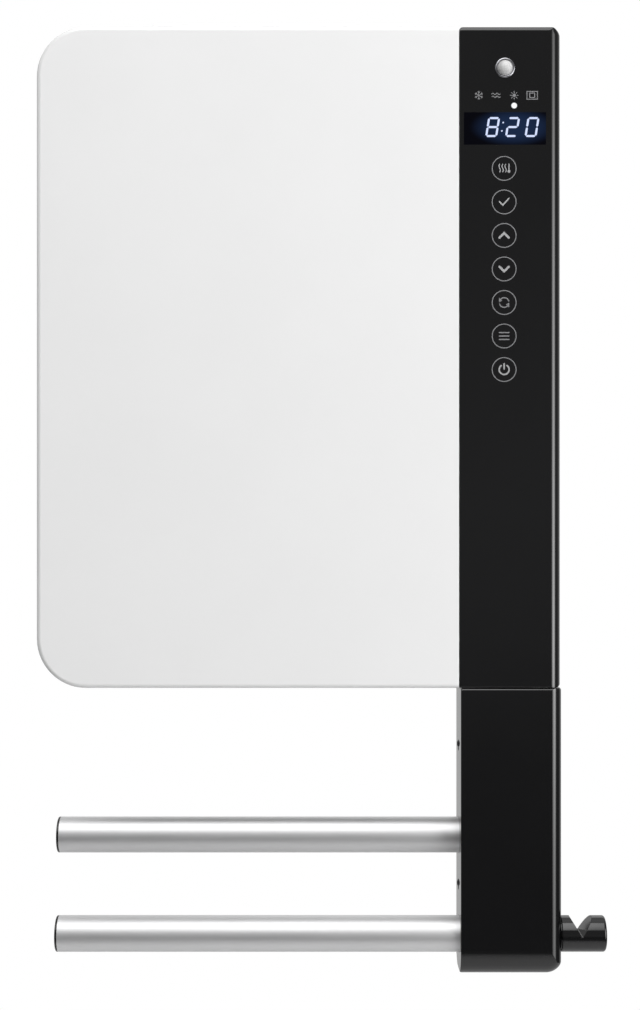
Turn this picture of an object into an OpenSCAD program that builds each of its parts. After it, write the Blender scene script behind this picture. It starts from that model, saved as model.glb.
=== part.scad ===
// Bathroom wall fan heater with a towel tower.
// X runs to the right, Y runs into the wall and Z runs up. The wall is the plane y = 0, and the
// origin is the middle of the wall bracket, behind the middle of the casing.

/* [Front] */
// Width of the white front panel
panel_w = 282; // [260:0.1:340]
// Width of the black control column
column_w = 68; // [64:0.1:90]
// Height of the front
front_h = 441.6; // [430:0.1:520]
// Distance from the wall to the front
depth = 120; // [116:0.5:150]
// Depth of the front's sides
skirt_depth = 22; // [18:0.5:23]
// Wall of the front panel and of the column
front_wall = 2.5; // [2:0.1:3]
// Corner radius of the panel's free side
panel_corner_r = 33; // [12:1:60]
// Rounding of the panel's rim
panel_rim_r = 2.9; // [1:0.1:3]
// Rounding of the column's and the tower's outer long edge
long_edge_r = 7.6; // [3:0.1:9]
// Gap between the panel and the column
seam_gap = 0.2; // [0.1:0.05:0.6]
// Gap between the column and the tower
tower_gap = 0.4; // [0.3:0.1:2]

/* [Controls] */
// Height from the column's top to the presence sensor
pir_drop = 27.8; // [18:0.1:32]
// Radius of the sensor's dome
pir_r = 5.2; // [4:0.1:7]
// Width of the bezel round the dome
bezel_w = 1.5; // [1:0.1:2.5]
// Width of the display window
window_w = 54.7; // [50:0.1:56]
// Height of the display window
window_h = 21.7; // [20:0.1:26]
// Height from the column's top to the middle of the window
window_drop = 68.2; // [64:0.1:74]
// Height from the column's top to the status light
light_drop = 53; // [48:0.1:53.5]
// Radius of the status light
light_r = 2; // [1:0.1:2.4]
// Height from the column's top to the first touch key
key_drop = 94.9; // [92:0.1:110]
// Distance from one touch key to the next
key_pitch = 22.35; // [20:0.05:26]
// Number of touch keys
key_count = 7; // [3:1:8]
// Radius of a touch key's pad
key_r = 7; // [5:0.1:8]

/* [Casing] */
// How far the casing stands in from the front's outline
casing_inset = 8; // [5:0.5:12]
// How far the casing's top stands below the front's top
top_inset = 4; // [2:0.5:10]
// Wall of the casing
casing_wall = 2.5; // [2:0.1:3.5]
// Gap behind the front's sides
shadow_gap = 3; // [1:0.5:6]
// Thickness of the chassis plate
chassis_t = 3; // [2:0.1:4]
// Thickness of the wall bracket's sheet
bracket_t = 2; // [1.5:0.1:2.5]
// Depth of the pocket for the wall bracket
pocket_depth = 5; // [4:0.1:7]
// Width between the bracket's screw holes
screw_dx = 200; // [180:1:220]
// Height between the bracket's screw holes
screw_dz = 200; // [170:1:220]
// Radius of the screw holes to the wall
wall_hole_r = 2.75; // [2.25:0.05:3.5]

/* [Filter] */
// Width of the filter cassette
filter_w = 186; // [150:1:190]
// Depth of the filter cassette, front to back
filter_d = 62; // [40:1:64]
// Height of the cassette's basket
basket_h = 18; // [12:0.5:24]
// Height of the pull rim above the casing
pull_h = 15.5; // [8:0.5:20]
// Distance from one cassette bar to the next
slat_pitch = 9.3; // [7:0.1:14]

/* [Fan] */
// Outer radius of the crossflow impeller
fan_r = 30; // [24:0.5:31]
// Length of the crossflow impeller
fan_l = 220; // [160:1:222]
// Number of blades
blade_count = 30; // [16:1:36]
// Thickness of a blade
blade_t = 0.8; // [0.6:0.1:1.2]
// Radial width of the ring of blades
blade_w = 7.5; // [5:0.5:9]
// Radius of the shaft
shaft_r = 3; // [2:0.1:4]
// Radial gap of the shaft in its bushes
run_gap = 0.05; // [0.02:0.01:0.1]
// Gap between the impeller and the tip of the air guide
tip_gap = 3; // [2:0.5:4]
// Height from the casing's bottom to the fan's axis
fan_rise = 94; // [90:0.5:120]

/* [Heating] */
// Number of heating rows
row_count = 3; // [2:1:4]
// Distance from one heating row to the next
row_pitch = 15; // [13:0.5:16]
// Height of the heating element
heater_h = 26; // [20:1:32]
// Distance from one fin to the next
fin_pitch = 6; // [4:0.5:10]
// Distance from one outlet vane to the next
vane_pitch = 9; // [7:0.5:14]
// Height of the outlet grille
grille_h = 12; // [8:0.5:14]

/* [Tower] */
// Width of the tower
tower_w = 67.9; // [62:0.1:90]
// Height of the tower
tower_h = 193.1; // [186:0.1:260]
// Depth of the tower, front to back
tower_depth = 40; // [36:0.5:50]
// Depth of the tower's front shell
tower_seam = 15; // [12:0.5:16]
// How far the tower stands to the right of the column
tower_shift = 1.05; // [0:0.05:2]
// Wall of the tower's shells
tower_wall = 2.5; // [2:0.1:3]
// Rounding of the tower's front lower edge
chin_r = 14.8; // [4:0.1:14.8]
// Rounding of the tower's rear lower edge
heel_r = 18; // [3:0.5:19]
// Width of the steel frame in the tower
frame_w = 50; // [44:0.5:51]
// Thickness of the frame's sheet
frame_t = 2; // [1.5:0.1:3]
// Width of the standoff to the wall
standoff_w = 40; // [36:0.5:44]
// Height of the standoff to the wall
standoff_h = 100; // [80:1:104]
// Height between the standoff's screw holes
standoff_dz = 70; // [60:1:80]

/* [Bars] */
// Diameter of the towel bars
bar_d = 24; // [16:0.1:25]
// Wall of the towel bars
bar_wall = 1.5; // [1:0.1:2.5]
// Free length of the towel bars
bar_reach = 272.1; // [200:1:360]
// Height from the tower's bottom to the lower bar
bar_rise = 25.6; // [19:0.1:30]
// Distance from the lower bar up to the upper bar
bar_pitch = 65.3; // [64:0.1:67]
// Distance from the tower's front to the upper bar's axis
upper_bar_in = 24; // [20:0.5:24.5]
// Distance from the tower's front to the lower bar's axis
lower_bar_in = 16; // [14.5:0.5:20]
// Thickness of a bar's end cap
cap_t = 1.5; // [1:0.1:4]
// Length of the robe hook
hook_l = 30.6; // [28:0.1:50]
// Height of the notch's bottom above the hook's axis
notch_rise = 0.3; // [-4:0.1:3]

/* [Hidden] */
$fn = 96;

fit_gap = 0.03; // radial gap of a pin or a screw that is held fast
slip_gap = 0.3; // gap round a piece that lifts out or passes through a wall
eps = 0.01; // how far a cut runs past a face

// Outline of the front
front_w = panel_w + seam_gap + column_w;
front_x0 = -front_w / 2;
front_x1 = front_w / 2;
front_z0 = -front_h / 2;
front_z1 = front_h / 2;
panel_x1 = front_x0 + panel_w;
column_x0 = panel_x1 + seam_gap;
column_z0 = front_z0 + tower_gap;
column_corner_r = 5.5;
column_top_r = 3;

// Stations from the front to the wall
front_y = -depth;
inner_y = front_y + front_wall;
skirt_y = front_y + skirt_depth;
chassis_y0 = skirt_y + shadow_gap;
casing_y0 = chassis_y0 + chassis_t;
pocket_y = -pocket_depth;
floor_y = pocket_y - casing_wall;

// Outline of the casing
casing_x0 = front_x0 + casing_inset;
casing_x1 = front_x1 - casing_inset;
casing_z0 = front_z0 + casing_inset;
casing_z1 = front_z1 - top_inset;
casing_corner_r = min(25, panel_corner_r);

// Controls
key_x = column_x0 + 29.85;
pir_x = key_x + 0.6;
light_x = key_x + 6.7;
pir_z = front_z1 - pir_drop;
window_z = front_z1 - window_drop;
window_x = column_x0 + (column_w - window_w) / 2 - 3.6;
light_z = front_z1 - light_drop;
board_t = 1.6;
board_y = inner_y + 6.5;
board_x0 = column_x0 + front_wall + 2;
board_x1 = front_x1 - front_wall - long_edge_r + 1;
board_z1 = front_z1 - front_wall - 6;
board_z0 = front_z1 - key_drop - (key_count - 1) * key_pitch - 22;
window_t = 1.4;
ledge_w = 2;
post_r = 2.6;
pilot_r = 1.25;

// Fan
fan_y = (casing_y0 + floor_y) / 2 + 1;
fan_z = casing_z0 + fan_rise;
fan_x0 = casing_x0 + 33;
fan_x1 = fan_x0 + fan_l;
plate_gap = 4;
plate_t = 2;
plate_r = 8;
plate_z0 = casing_z0 + grille_h + 2;
plate_z1 = fan_z + fan_r + 8;
left_plate_x = fan_x0 - plate_gap - plate_t;
right_plate_x = fan_x1 + plate_gap;
duct_y0 = casing_y0 + 8;
duct_y1 = floor_y - 3;
bush_l = 6;
bush_r = shaft_r + 3;
mount_r = bush_r + 4;
stator_x = right_plate_x + plate_t + 12;
stator_l = 16;
rotor_r = 15;
air_gap = 0.4;
strap_t = 1.5;

// Heating element
heater_x0 = left_plate_x + plate_t;
heater_x1 = right_plate_x;
heater_z0 = plate_z0 + 6;
heater_d = row_count * row_pitch;
heater_y = (duct_y0 + duct_y1) / 2;
frame_bar = 3;

// Tower
tower_x = (column_x0 + front_x1) / 2 + tower_shift;
tower_x0 = tower_x - tower_w / 2;
tower_x1 = tower_x + tower_w / 2;
tower_z1 = front_z0;
tower_z0 = tower_z1 - tower_h;
tower_y1 = front_y + tower_depth;
seam_y = front_y + tower_seam;
web_y = tower_y1 - tower_wall;
flange_y = front_y + 4;
frame_x0 = tower_x - frame_w / 2;
frame_x1 = tower_x + frame_w / 2;
tongue_w = 36;
tongue_z1 = casing_z0 + 60;
tongue_hole_z = [casing_z0 + 22, casing_z0 + 46];
tongue_hole_dx = 20;
standoff_z = tower_z1 - tower_h * 0.58;
standoff_foot = 4;
driver_r = 4.5;

// Bars and hook
bar_r = bar_d / 2;
bar_x0 = tower_x0 - bar_reach;
bar_places = [
    [front_y + upper_bar_in, tower_z0 + bar_rise + bar_pitch],
    [front_y + lower_bar_in, tower_z0 + bar_rise]
];
bar_hole_r = bar_r + slip_gap;
bore_r = bar_r - bar_wall;
plug_l = 30;
cap_plug_l = 8;
bolt_r = 3;
bolt_head_r = 5;
bolt_head_h = 4;
hook_r = bar_r;
notch_x = tower_x1 + 14;
notch_slant = 32;
spigot_r = 8;
cover_screw_z = [bar_places[0][1] + bar_pitch * 0.94, bar_places[0][1] - bar_pitch * 0.507];
cover_screw_y = front_y + 21;

// Extrudes a flat shape drawn in X and Z along Y
module along_y(y0, y1) { translate([0, y1, 0]) rotate([90, 0, 0]) linear_extrude(y1 - y0) children(); }

// Extrudes a flat shape drawn in Y and Z along X
module along_x(x0, x1) { translate([x0, 0, 0]) rotate([90, 0, 90]) linear_extrude(x1 - x0) children(); }

// Extrudes a flat shape drawn in X and Y along Z
module along_z(z0, z1) { translate([0, 0, z0]) linear_extrude(z1 - z0) children(); }

module rod_x(x0, x1, y, z, r) { translate([x0, y, z]) rotate([0, 90, 0]) cylinder(h = x1 - x0, r = r); }
module rod_y(y0, y1, x, z, r) { translate([x, y1, z]) rotate([90, 0, 0]) cylinder(h = y1 - y0, r = r); }
module block(x0, x1, y0, y1, z0, z1) { translate([x0, y0, z0]) cube([x1 - x0, y1 - y0, z1 - z0]); }

// What a corner of radius r takes off a square
module corner_off(r) { difference() { square(r + 1); circle(r); } }

// Rectangle with its own radius at each corner, from the lower left one and round to the right
module rounded(x0, y0, x1, y1, r) {
    difference() {
        translate([x0, y0]) square([x1 - x0, y1 - y0]);
        if (r[0] > 0) translate([x0 + r[0], y0 + r[0]]) rotate(180) corner_off(r[0]);
        if (r[1] > 0) translate([x1 - r[1], y0 + r[1]]) rotate(270) corner_off(r[1]);
        if (r[2] > 0) translate([x1 - r[2], y1 - r[2]]) corner_off(r[2]);
        if (r[3] > 0) translate([x0 + r[3], y1 - r[3]]) rotate(90) corner_off(r[3]);
    }
}

// Pan-head screw along Y, with its head towards the front
module screw_y(x, z, head_y, l, r, head_r, head_h) {
    rod_y(head_y - head_h, head_y, x, z, head_r);
    rod_y(head_y - eps, head_y + l, x, z, r);
}

// ---- Front ----

panel_bosses = [for (x = [front_x0 + 40, panel_x1 - 24], z = [front_z0 + 40, 0, front_z1 - 40]) [x, z]];
column_bosses = [for (z = [column_z0 + 24, column_z0 + 90]) [column_x0 + column_w / 2, z]];
front_boss_r = 4;
front_screw_r = 1.5;
panel_screw_l = 10;

// The panel's outer skin: a plate whose rim is rolled back on its three free sides
module panel_skin() {
    e = panel_rim_r;
    r = panel_corner_r;
    y = front_y + e;
    along_y(y, skirt_y) rounded(front_x0, front_z0, panel_x1, front_z1, [r, 0, 0, r]);
    along_y(front_y, y + eps)
        rounded(front_x0 + e, front_z0 + e, panel_x1, front_z1 - e, [r - e, 0, 0, r - e]);
    translate([front_x0 + e, y, front_z0 + r]) cylinder(h = front_h - 2 * r, r = e);
    for (z = [front_z0 + e, front_z1 - e]) rod_x(front_x0 + r, panel_x1, y, z, e);
    for (i = [0, 1])
        translate([front_x0 + r, y, i == 0 ? front_z0 + r : front_z1 - r])
            rotate([90, i == 0 ? 180 : 270, 0]) rotate_extrude(angle = 90) translate([r - e, 0]) circle(e);
}

module front_panel() {
    w = front_wall;
    r = panel_corner_r - w;
    color([0.92, 0.92, 0.92]) difference() {
        union() {
            difference() {
                panel_skin();
                along_y(inner_y, skirt_y + 1)
                    rounded(front_x0 + w, front_z0 + w, panel_x1 - w, front_z1 - w, [r, 0, 0, r]);
            }
            for (p = panel_bosses) rod_y(inner_y - eps, chassis_y0, p[0], p[1], front_boss_r);
            // stiffening ribs behind the flat face
            for (p = panel_bosses)
                block(front_x0 + w, panel_x1 - w, inner_y - eps, inner_y + 6, p[1] - 0.8, p[1] + 0.8);
        }
        for (p = panel_bosses) rod_y(inner_y + 3, chassis_y0 + 1, p[0], p[1], front_screw_r);
    }
}

module control_fascia() {
    w = front_wall;
    x0 = column_x0;
    x1 = front_x1;
    z0 = column_z0;
    z1 = front_z1;
    color([0.05, 0.05, 0.055]) difference() {
        union() {
            difference() {
                intersection() {
                    along_y(front_y, skirt_y) rounded(x0, z0, x1, z1, [0.5, 2, column_corner_r, 2.5]);
                    along_z(z0, z1) rounded(x0, front_y, x1, skirt_y, [0.8, long_edge_r, 0, 0]);
                    along_x(x0, x1) rounded(front_y, z0, skirt_y, z1, [1, 0, 0, column_top_r]);
                }
                intersection() {
                    along_z(z0 + w, z1 - w)
                        rounded(x0 + w, inner_y, x1 - w, skirt_y + 1, [0, max(long_edge_r - w, 0), 0, 0]);
                    block(x0, x1, inner_y, skirt_y + 1, z0, z1);
                }
            }
            for (p = column_bosses) rod_y(inner_y - eps, chassis_y0, p[0], p[1], front_boss_r);
            for (p = board_posts) rod_y(inner_y - eps, board_y, p[0], p[1], post_r);
            rod_y(inner_y - eps, inner_y + 2, pir_x, pir_z, pir_r + bezel_w + 2);
        }
        for (p = column_bosses) rod_y(inner_y + 3, chassis_y0 + 1, p[0], p[1], front_screw_r);
        for (p = board_posts) rod_y(inner_y + 1, board_y + 1, p[0], p[1], pilot_r);
        rod_y(front_y - 1, inner_y + 3, pir_x, pir_z, pir_r + fit_gap);
        rod_y(front_y - 1, front_y + 1, pir_x, pir_z, pir_r + bezel_w + fit_gap);
        rod_y(front_y - 1, inner_y + 1, light_x, light_z, light_r + fit_gap);
        block(window_x - fit_gap, window_x + window_w + fit_gap, front_y - 1, front_y + window_t,
            window_z - window_h / 2 - fit_gap, window_z + window_h / 2 + fit_gap);
        block(window_x + ledge_w, window_x + window_w - ledge_w, front_y, inner_y + 1,
            window_z - window_h / 2 + ledge_w, window_z + window_h / 2 - ledge_w);
    }
}

board_posts = [for (x = [board_x0 + 4, board_x1 - 4], z = [board_z0 + 5, board_z1 - 5]) [x, z]];

module display_window() {
    color([0.02, 0.03, 0.08]) block(window_x, window_x + window_w, front_y, front_y + window_t,
        window_z - window_h / 2, window_z + window_h / 2);
}

// A milky dome: a ball cap on a short collar, held from behind by its flange
module pir_dome() {
    wall = 1;
    collar = front_wall + 1;
    flange_t = 0.8;
    color([0.95, 0.95, 0.95]) translate([pir_x, front_y + 1, pir_z]) rotate([90, 0, 0]) rotate_extrude() {
        difference() {
            intersection() {
                circle(pir_r);
                square(pir_r);
            }
            circle(pir_r - wall);
        }
        translate([pir_r - wall, -collar - flange_t]) square([wall, collar + flange_t + eps]);
        translate([pir_r - wall, -collar - flange_t]) square([wall + 1.2, flange_t]);
    }
}

module pir_bezel() {
    color([0.3, 0.3, 0.32]) difference() {
        rod_y(front_y - 0.6, front_y + 1, pir_x, pir_z, pir_r + bezel_w);
        rod_y(front_y - 1, front_y + 2, pir_x, pir_z, pir_r + fit_gap);
    }
}

module status_light_guide() { color([0.9, 0.95, 1]) rod_y(front_y, status_y, light_x, light_z, light_r); }

// ---- Electronics behind the column ----

status_y = board_y - 1;
chip_x = 14;
chip_z = 49.7;
chip_w = 12;
chip_t = 1.6;
buzzer_x = 20;
buzzer_z = 89.7;
buzzer_r = 4.5;
buzzer_h = 5;
plug_x = 8;
plug_z = 15.7;
plug_w = 24;
plug_h = 6;

module control_board() {
    color([0.05, 0.25, 0.12]) difference() {
        union() {
            block(board_x0, board_x1, board_y, board_y + board_t, board_z0, board_z1);
            // processor, buzzer and plug header on the rear
            block(board_x0 + chip_x, board_x0 + chip_x + chip_w, board_y, board_y + board_t + chip_t,
                board_z0 + chip_z, board_z0 + chip_z + chip_w);
            rod_y(board_y + board_t - eps, board_y + board_t + buzzer_h, board_x0 + buzzer_x,
                board_z0 + buzzer_z, buzzer_r);
            block(board_x0 + plug_x, board_x0 + plug_x + plug_w, board_y, board_y + board_t + buzzer_h,
                board_z0 + plug_z, board_z0 + plug_z + plug_h);
        }
        for (p = board_posts) rod_y(board_y - 1, board_y + board_t + 1, p[0], p[1], pilot_r + 0.3);
    }
}

module display_module() {
    x0 = window_x + ledge_w + slip_gap;
    x1 = window_x + window_w - ledge_w - slip_gap;
    z0 = window_z - window_h / 2 + ledge_w + slip_gap;
    z1 = window_z + window_h / 2 - ledge_w - slip_gap;
    color([0.12, 0.12, 0.14]) block(x0, x1, front_y + window_t, board_y, z0, z1);
}

module touch_pads() {
    color([0.25, 0.25, 0.27]) for (i = [0:key_count - 1])
        rod_y(inner_y, board_y, key_x, front_z1 - key_drop - i * key_pitch, key_r);
}

module pir_sensor() {
    color([0.75, 0.75, 0.72]) rod_y(board_y - 4.5, board_y, pir_x, pir_z, 4.1);
}

module status_led() {
    color([1, 1, 1]) block(light_x - 1.6, light_x + 1.6, status_y, board_y, light_z - 1.4, light_z + 1.4);
}

// ---- Casing ----

casing_bosses = [
    [casing_x0 + 14, casing_z0 + 26], [casing_x0 + 14, casing_z1 - 20],
    [casing_x1 - 12, tongue_z1 + 12], [casing_x1 - 12, casing_z1 - 20]
];
casing_boss_r = 5;
casing_screw_r = 1.7;
casing_screw_l = 18;
slot_x0 = -9.5 - filter_w / 2;
slot_x1 = slot_x0 + filter_w;
slot_y0 = casing_y0 + 8;
slot_y1 = slot_y0 + filter_d;
flange_w = 3;
pocket_margin = 30;
pocket_x = screw_dx / 2 + pocket_margin;
pocket_z = screw_dz / 2 + pocket_margin;
hook_slot_w = 26;
hook_x = 60;
hook_z = pocket_z - 22;
switch_y = casing_y0 / 2;
switch_z = 60;
switch_w = 13;
switch_h = 20;
grommet_x = 50;
grommet_z = -64;
grommet_r = 8;
outlet_x0 = heater_x0;
outlet_x1 = heater_x1;

// The casing's outer form: rounded corners seen from the front, and softer edges at the wall
module casing_form(inset, y0, y1) {
    r = casing_corner_r - inset;
    x0 = casing_x0 + inset;
    x1 = casing_x1 - inset;
    z0 = casing_z0 + inset;
    z1 = casing_z1 - inset;
    back_r = 14 - inset;
    intersection() {
        along_y(y0, y1) rounded(x0, z0, x1, z1, [r, r / 2, r / 2, r]);
        along_z(z0 - 1, z1 + 1) rounded(x0, y0 - 20, x1, y1, [0, 0, back_r, back_r]);
    }
}

module rear_casing() {
    w = casing_wall;
    color([0.9, 0.9, 0.9]) difference() {
        union() {
            difference() {
                casing_form(0, casing_y0, 0);
                casing_form(w, casing_y0 - 1, -w);
            }
            block(-pocket_x - w, pocket_x + w, floor_y, -eps, -pocket_z - w, pocket_z + w);
            for (p = casing_bosses) rod_y(casing_y0, -w + eps, p[0], p[1], casing_boss_r);
            // ribs that stiffen the back wall beside the pocket
            intersection() {
                casing_form(w / 2, casing_y0, -w / 2);
                for (z = [-2:2], s = [-1, 1])
                    block(s > 0 ? pocket_x + w : casing_x0, s > 0 ? casing_x1 : -pocket_x - w,
                        floor_y, 0, z * pocket_z * 0.38 - 1, z * pocket_z * 0.38 + 1);
            }
        }
        // pocket for the wall bracket, with the slots that hang on its hooks
        block(-pocket_x, pocket_x, pocket_y, 1, -pocket_z, pocket_z);
        for (s = [-1, 1])
            block(s * hook_x - hook_slot_w / 2, s * hook_x + hook_slot_w / 2, floor_y - 1, pocket_y + 1,
                hook_z - 14, hook_z + bracket_t);
        for (p = casing_bosses) rod_y(casing_y0 - 1, casing_y0 + 20, p[0], p[1], casing_screw_r);
        // intake slot in the top
        block(slot_x0 + flange_w - slip_gap, slot_x1 - flange_w + slip_gap,
            slot_y0 + flange_w - slip_gap, slot_y1 - flange_w + slip_gap, casing_z1 - w - 1, casing_z1 + 1);
        // outlet in the bottom
        block(outlet_x0, outlet_x1, duct_y0, duct_y1, casing_z0 - 1, casing_z0 + w + 1);
        // passage of the tower's tongue
        block(tower_x - tongue_w / 2 - slip_gap, tower_x + tongue_w / 2 + slip_gap,
            web_y - frame_t - slip_gap, web_y + slip_gap, casing_z0 - 1, casing_z0 + casing_corner_r / 2);
        // cut-out of the mains switch
        block(casing_x1 - w - 1, casing_x1 + 1, switch_y - switch_w / 2, switch_y + switch_w / 2,
            switch_z - switch_h / 2, switch_z + switch_h / 2);
        rod_y(floor_y - 1, pocket_y + 1, grommet_x, grommet_z, grommet_r);
    }
}

module front_chassis() {
    color([0.25, 0.25, 0.27]) difference() {
        union() {
            casing_form_plate(0, chassis_y0, casing_y0);
            difference() {
                casing_form_plate(casing_wall + 0.2, casing_y0 - eps, casing_y0 + 5);
                casing_form_plate(casing_wall + 2.2, casing_y0 - 1, casing_y0 + 6);
            }
            for (p = tongue_holes) rod_y(casing_y0 - eps, web_y - frame_t, p[0], p[1], 5);
            for (p = power_posts) rod_y(casing_y0 - eps, power_y, p[0], p[1], post_r);
        }
        for (p = casing_bosses) rod_y(chassis_y0 - 1, casing_y0 + 6, p[0], p[1], casing_screw_r + fit_gap);
        for (p = casing_bosses) rod_y(casing_y0, casing_y0 + 6, p[0], p[1], casing_boss_r + slip_gap);
        for (p = concat(panel_bosses, column_bosses))
            rod_y(chassis_y0 - 1, casing_y0 + 6, p[0], p[1], front_screw_r + fit_gap);
        for (p = concat(panel_bosses, column_bosses)) rod_y(casing_y0, casing_y0 + 6, p[0], p[1], 4);
        for (p = tongue_holes) rod_y(casing_y0 + 1, web_y, p[0], p[1], front_screw_r);
        for (p = power_posts) rod_y(casing_y0 + 1, power_y + 1, p[0], p[1], pilot_r);
        // passage of the ribbon between the two boards
        block(column_x0 + 10, column_x0 + 40, chassis_y0 - 1, casing_y0 + 1, 70, 90);
        // clear of the mains switch and of the cassette
        block(casing_x1 - 8, casing_x1, casing_y0, casing_y0 + 6, switch_z - 18, switch_z + 18);
    }
}

module casing_form_plate(inset, y0, y1) {
    r = casing_corner_r - inset;
    along_y(y0, y1) rounded(casing_x0 + inset, casing_z0 + inset, casing_x1 - inset, casing_z1 - inset,
        [r, r / 2, r / 2, r]);
}

bracket_holes = [for (x = [-1, 1], z = [-1, 1]) [x * screw_dx / 2, z * screw_dz / 2]];

// Pressed sheet: two uprights, a middle bar and a top bar with two hooks
module wall_bracket() {
    t = bracket_t;
    upright_w = 28;
    hook_h = 9;
    middle_h = 36;
    half_w = screw_dx / 2 + upright_w / 2;
    half_h = screw_dz / 2 + upright_w / 2;
    color([0.7, 0.71, 0.73]) difference() {
        union() {
            along_y(-t, 0) difference() {
                rounded(-half_w, -half_h, half_w, half_h, [6, 6, 6, 6]);
                for (s = [0, 1])
                    rounded(-half_w + upright_w, s == 0 ? -half_h - 7 : middle_h / 2, half_w - upright_w,
                        s == 0 ? -middle_h / 2 : hook_z - 20, s == 0 ? [0, 0, 8, 8] : [8, 8, 8, 8]);
            }
            for (s = [-1, 1]) {
                x0 = s * hook_x - hook_slot_w / 2 + 2;
                x1 = s * hook_x + hook_slot_w / 2 - 2;
                block(x0, x1, floor_y - t, -eps, hook_z, hook_z + t);
                block(x0, x1, floor_y - t, floor_y, hook_z, hook_z + hook_h);
            }
        }
        for (p = bracket_holes) rod_y(-t - 1, 1, p[0], p[1], wall_hole_r);
    }
}

module casing_screws() {
    color([0.6, 0.6, 0.62]) for (p = casing_bosses)
        screw_y(p[0], p[1], chassis_y0, casing_screw_l, casing_screw_r - fit_gap,
            casing_screw_r * 2, casing_screw_r * 1.2);
}

// Screws from inside the casing into the panel's and the column's bosses
module panel_screws() {
    color([0.6, 0.6, 0.62]) for (p = concat(panel_bosses, column_bosses)) {
        rod_y(casing_y0, casing_y0 + front_screw_r * 1.2, p[0], p[1], front_screw_r * 1.87);
        rod_y(chassis_y0 - panel_screw_l, casing_y0 + eps, p[0], p[1], front_screw_r - fit_gap);
    }
}

// ---- Power supply ----

power_x0 = -70;
power_x1 = 70;
power_z0 = 20;
power_z1 = 120;
power_w = power_x1 - power_x0;
power_h = power_z1 - power_z0;
part_h = 20;
power_y = casing_y0 + 6;
power_posts = [for (x = [power_x0 + 6, power_x1 - 6], z = [power_z0 + 6, power_z1 - 6]) [x, z]];

// A box on the power board, placed by shares of the board's width and height
module board_part(x, z, l, w, h, sink) {
    x0 = power_x0 + x * power_w;
    z0 = power_z0 + z * power_h;
    y = power_y + board_t;
    block(x0, x0 + l * power_w, y - sink, y + h * part_h, z0, z0 + w * power_h);
}

module board_can(x, z, r, h) {
    rod_y(power_y + board_t - eps, power_y + board_t + h * part_h, power_x0 + x * power_w,
        power_z0 + z * power_h, r * power_h);
}

module power_board() {
    y = power_y + board_t;
    color([0.1, 0.3, 0.15]) difference() {
        union() {
            block(power_x0, power_x1, power_y, y, power_z0, power_z1);
            board_part(0.1, 0.14, 0.186, 0.22, 1, eps); // transformer
            board_can(0.386, 0.24, 0.07, 0.9); // smoothing capacitor
            board_can(0.514, 0.24, 0.05, 0.45); // surge disc
            for (i = [0:2]) board_part(0.114 + i * 0.286, 0.86, 0.171, 0.07, 0.4, eps); // plug headers
        }
        for (p = power_posts) rod_y(power_y - 1, y + 1, p[0], p[1], pilot_r + 0.3);
    }
}

module relays() {
    color([0.1, 0.2, 0.5]) for (i = [0:2]) board_part(0.171 + i * 0.243, 0.5, 0.136, 0.16, 0.8, 0);
}

module terminal_block() {
    l = 42;
    z0 = grommet_z + 16;
    color([0.92, 0.9, 0.82]) difference() {
        union() {
            block(grommet_x - l / 2, grommet_x + l / 2, floor_y - 8, floor_y, z0, z0 + 18);
            block(grommet_x - l / 2 + 2, grommet_x + l / 2 - 2, floor_y - 14, floor_y - 8 + eps,
                z0 + 4, z0 + 14);
        }
        for (i = [-1:1]) {
            rod_y(floor_y - 15, floor_y - 9, grommet_x + i * 13, z0 + 9, 2.5);
            translate([grommet_x + i * 13, floor_y - 4.5, z0 - 1]) cylinder(h = 6, r = 1.8);
        }
    }
}

module cable_grommet() {
    color([0.08, 0.08, 0.08]) difference() {
        union() {
            rod_y(floor_y, pocket_y, grommet_x, grommet_z, grommet_r - fit_gap);
            rod_y(floor_y - 2, floor_y, grommet_x, grommet_z, grommet_r + 2);
        }
        rod_y(floor_y - 3, pocket_y + 1, grommet_x, grommet_z, 4.5);
    }
}

module mains_switch_body() {
    x1 = casing_x1 + 1.5;
    wall = 1.5;
    color([0.06, 0.06, 0.06]) difference() {
        union() {
            block(casing_x1 - 22, x1, switch_y - switch_w / 2 + fit_gap, switch_y + switch_w / 2 - fit_gap,
                switch_z - switch_h / 2 + fit_gap, switch_z + switch_h / 2 - fit_gap);
            block(casing_x1, x1, switch_y - switch_w / 2 - 1.5, switch_y + switch_w / 2 + 1.5,
                switch_z - switch_h / 2 - 1.5, switch_z + switch_h / 2 + 1.5);
        }
        block(casing_x1 - 8, x1 + 1, switch_y - switch_w / 2 + wall, switch_y + switch_w / 2 - wall,
            switch_z - switch_h / 2 + wall, switch_z + switch_h / 2 - wall);
        rod_y(switch_y - switch_w, switch_y + switch_w, rocker_x, switch_z, rocker_pin_r + run_gap);
    }
}

// The rocker is drawn switched on, with its upper half pressed in
rocker_tilt = 8;
rocker_x = casing_x1 - 2;
rocker_pin_r = 1;

module mains_rocker() {
    h = switch_h - 3 - 2 * slip_gap;
    w = switch_w - 3 - 2 * slip_gap;
    color([0.15, 0.15, 0.15]) {
        along_y(switch_y - w / 2, switch_y + w / 2) translate([rocker_x, switch_z]) rotate(rocker_tilt)
            polygon([
                [-2, -h / 2 + 1.2], [3.4, -h / 2 + 0.7], [2.2, 0], [3.4, h / 2 - 0.7], [-2, h / 2 - 1.2]
            ]);
        rod_y(switch_y - switch_w / 2 + 0.4, switch_y + switch_w / 2 - 0.4, rocker_x, switch_z, rocker_pin_r);
    }
}

// ---- Filter ----

cassette_z = casing_z1;
ledge_t = 1.2;

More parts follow.
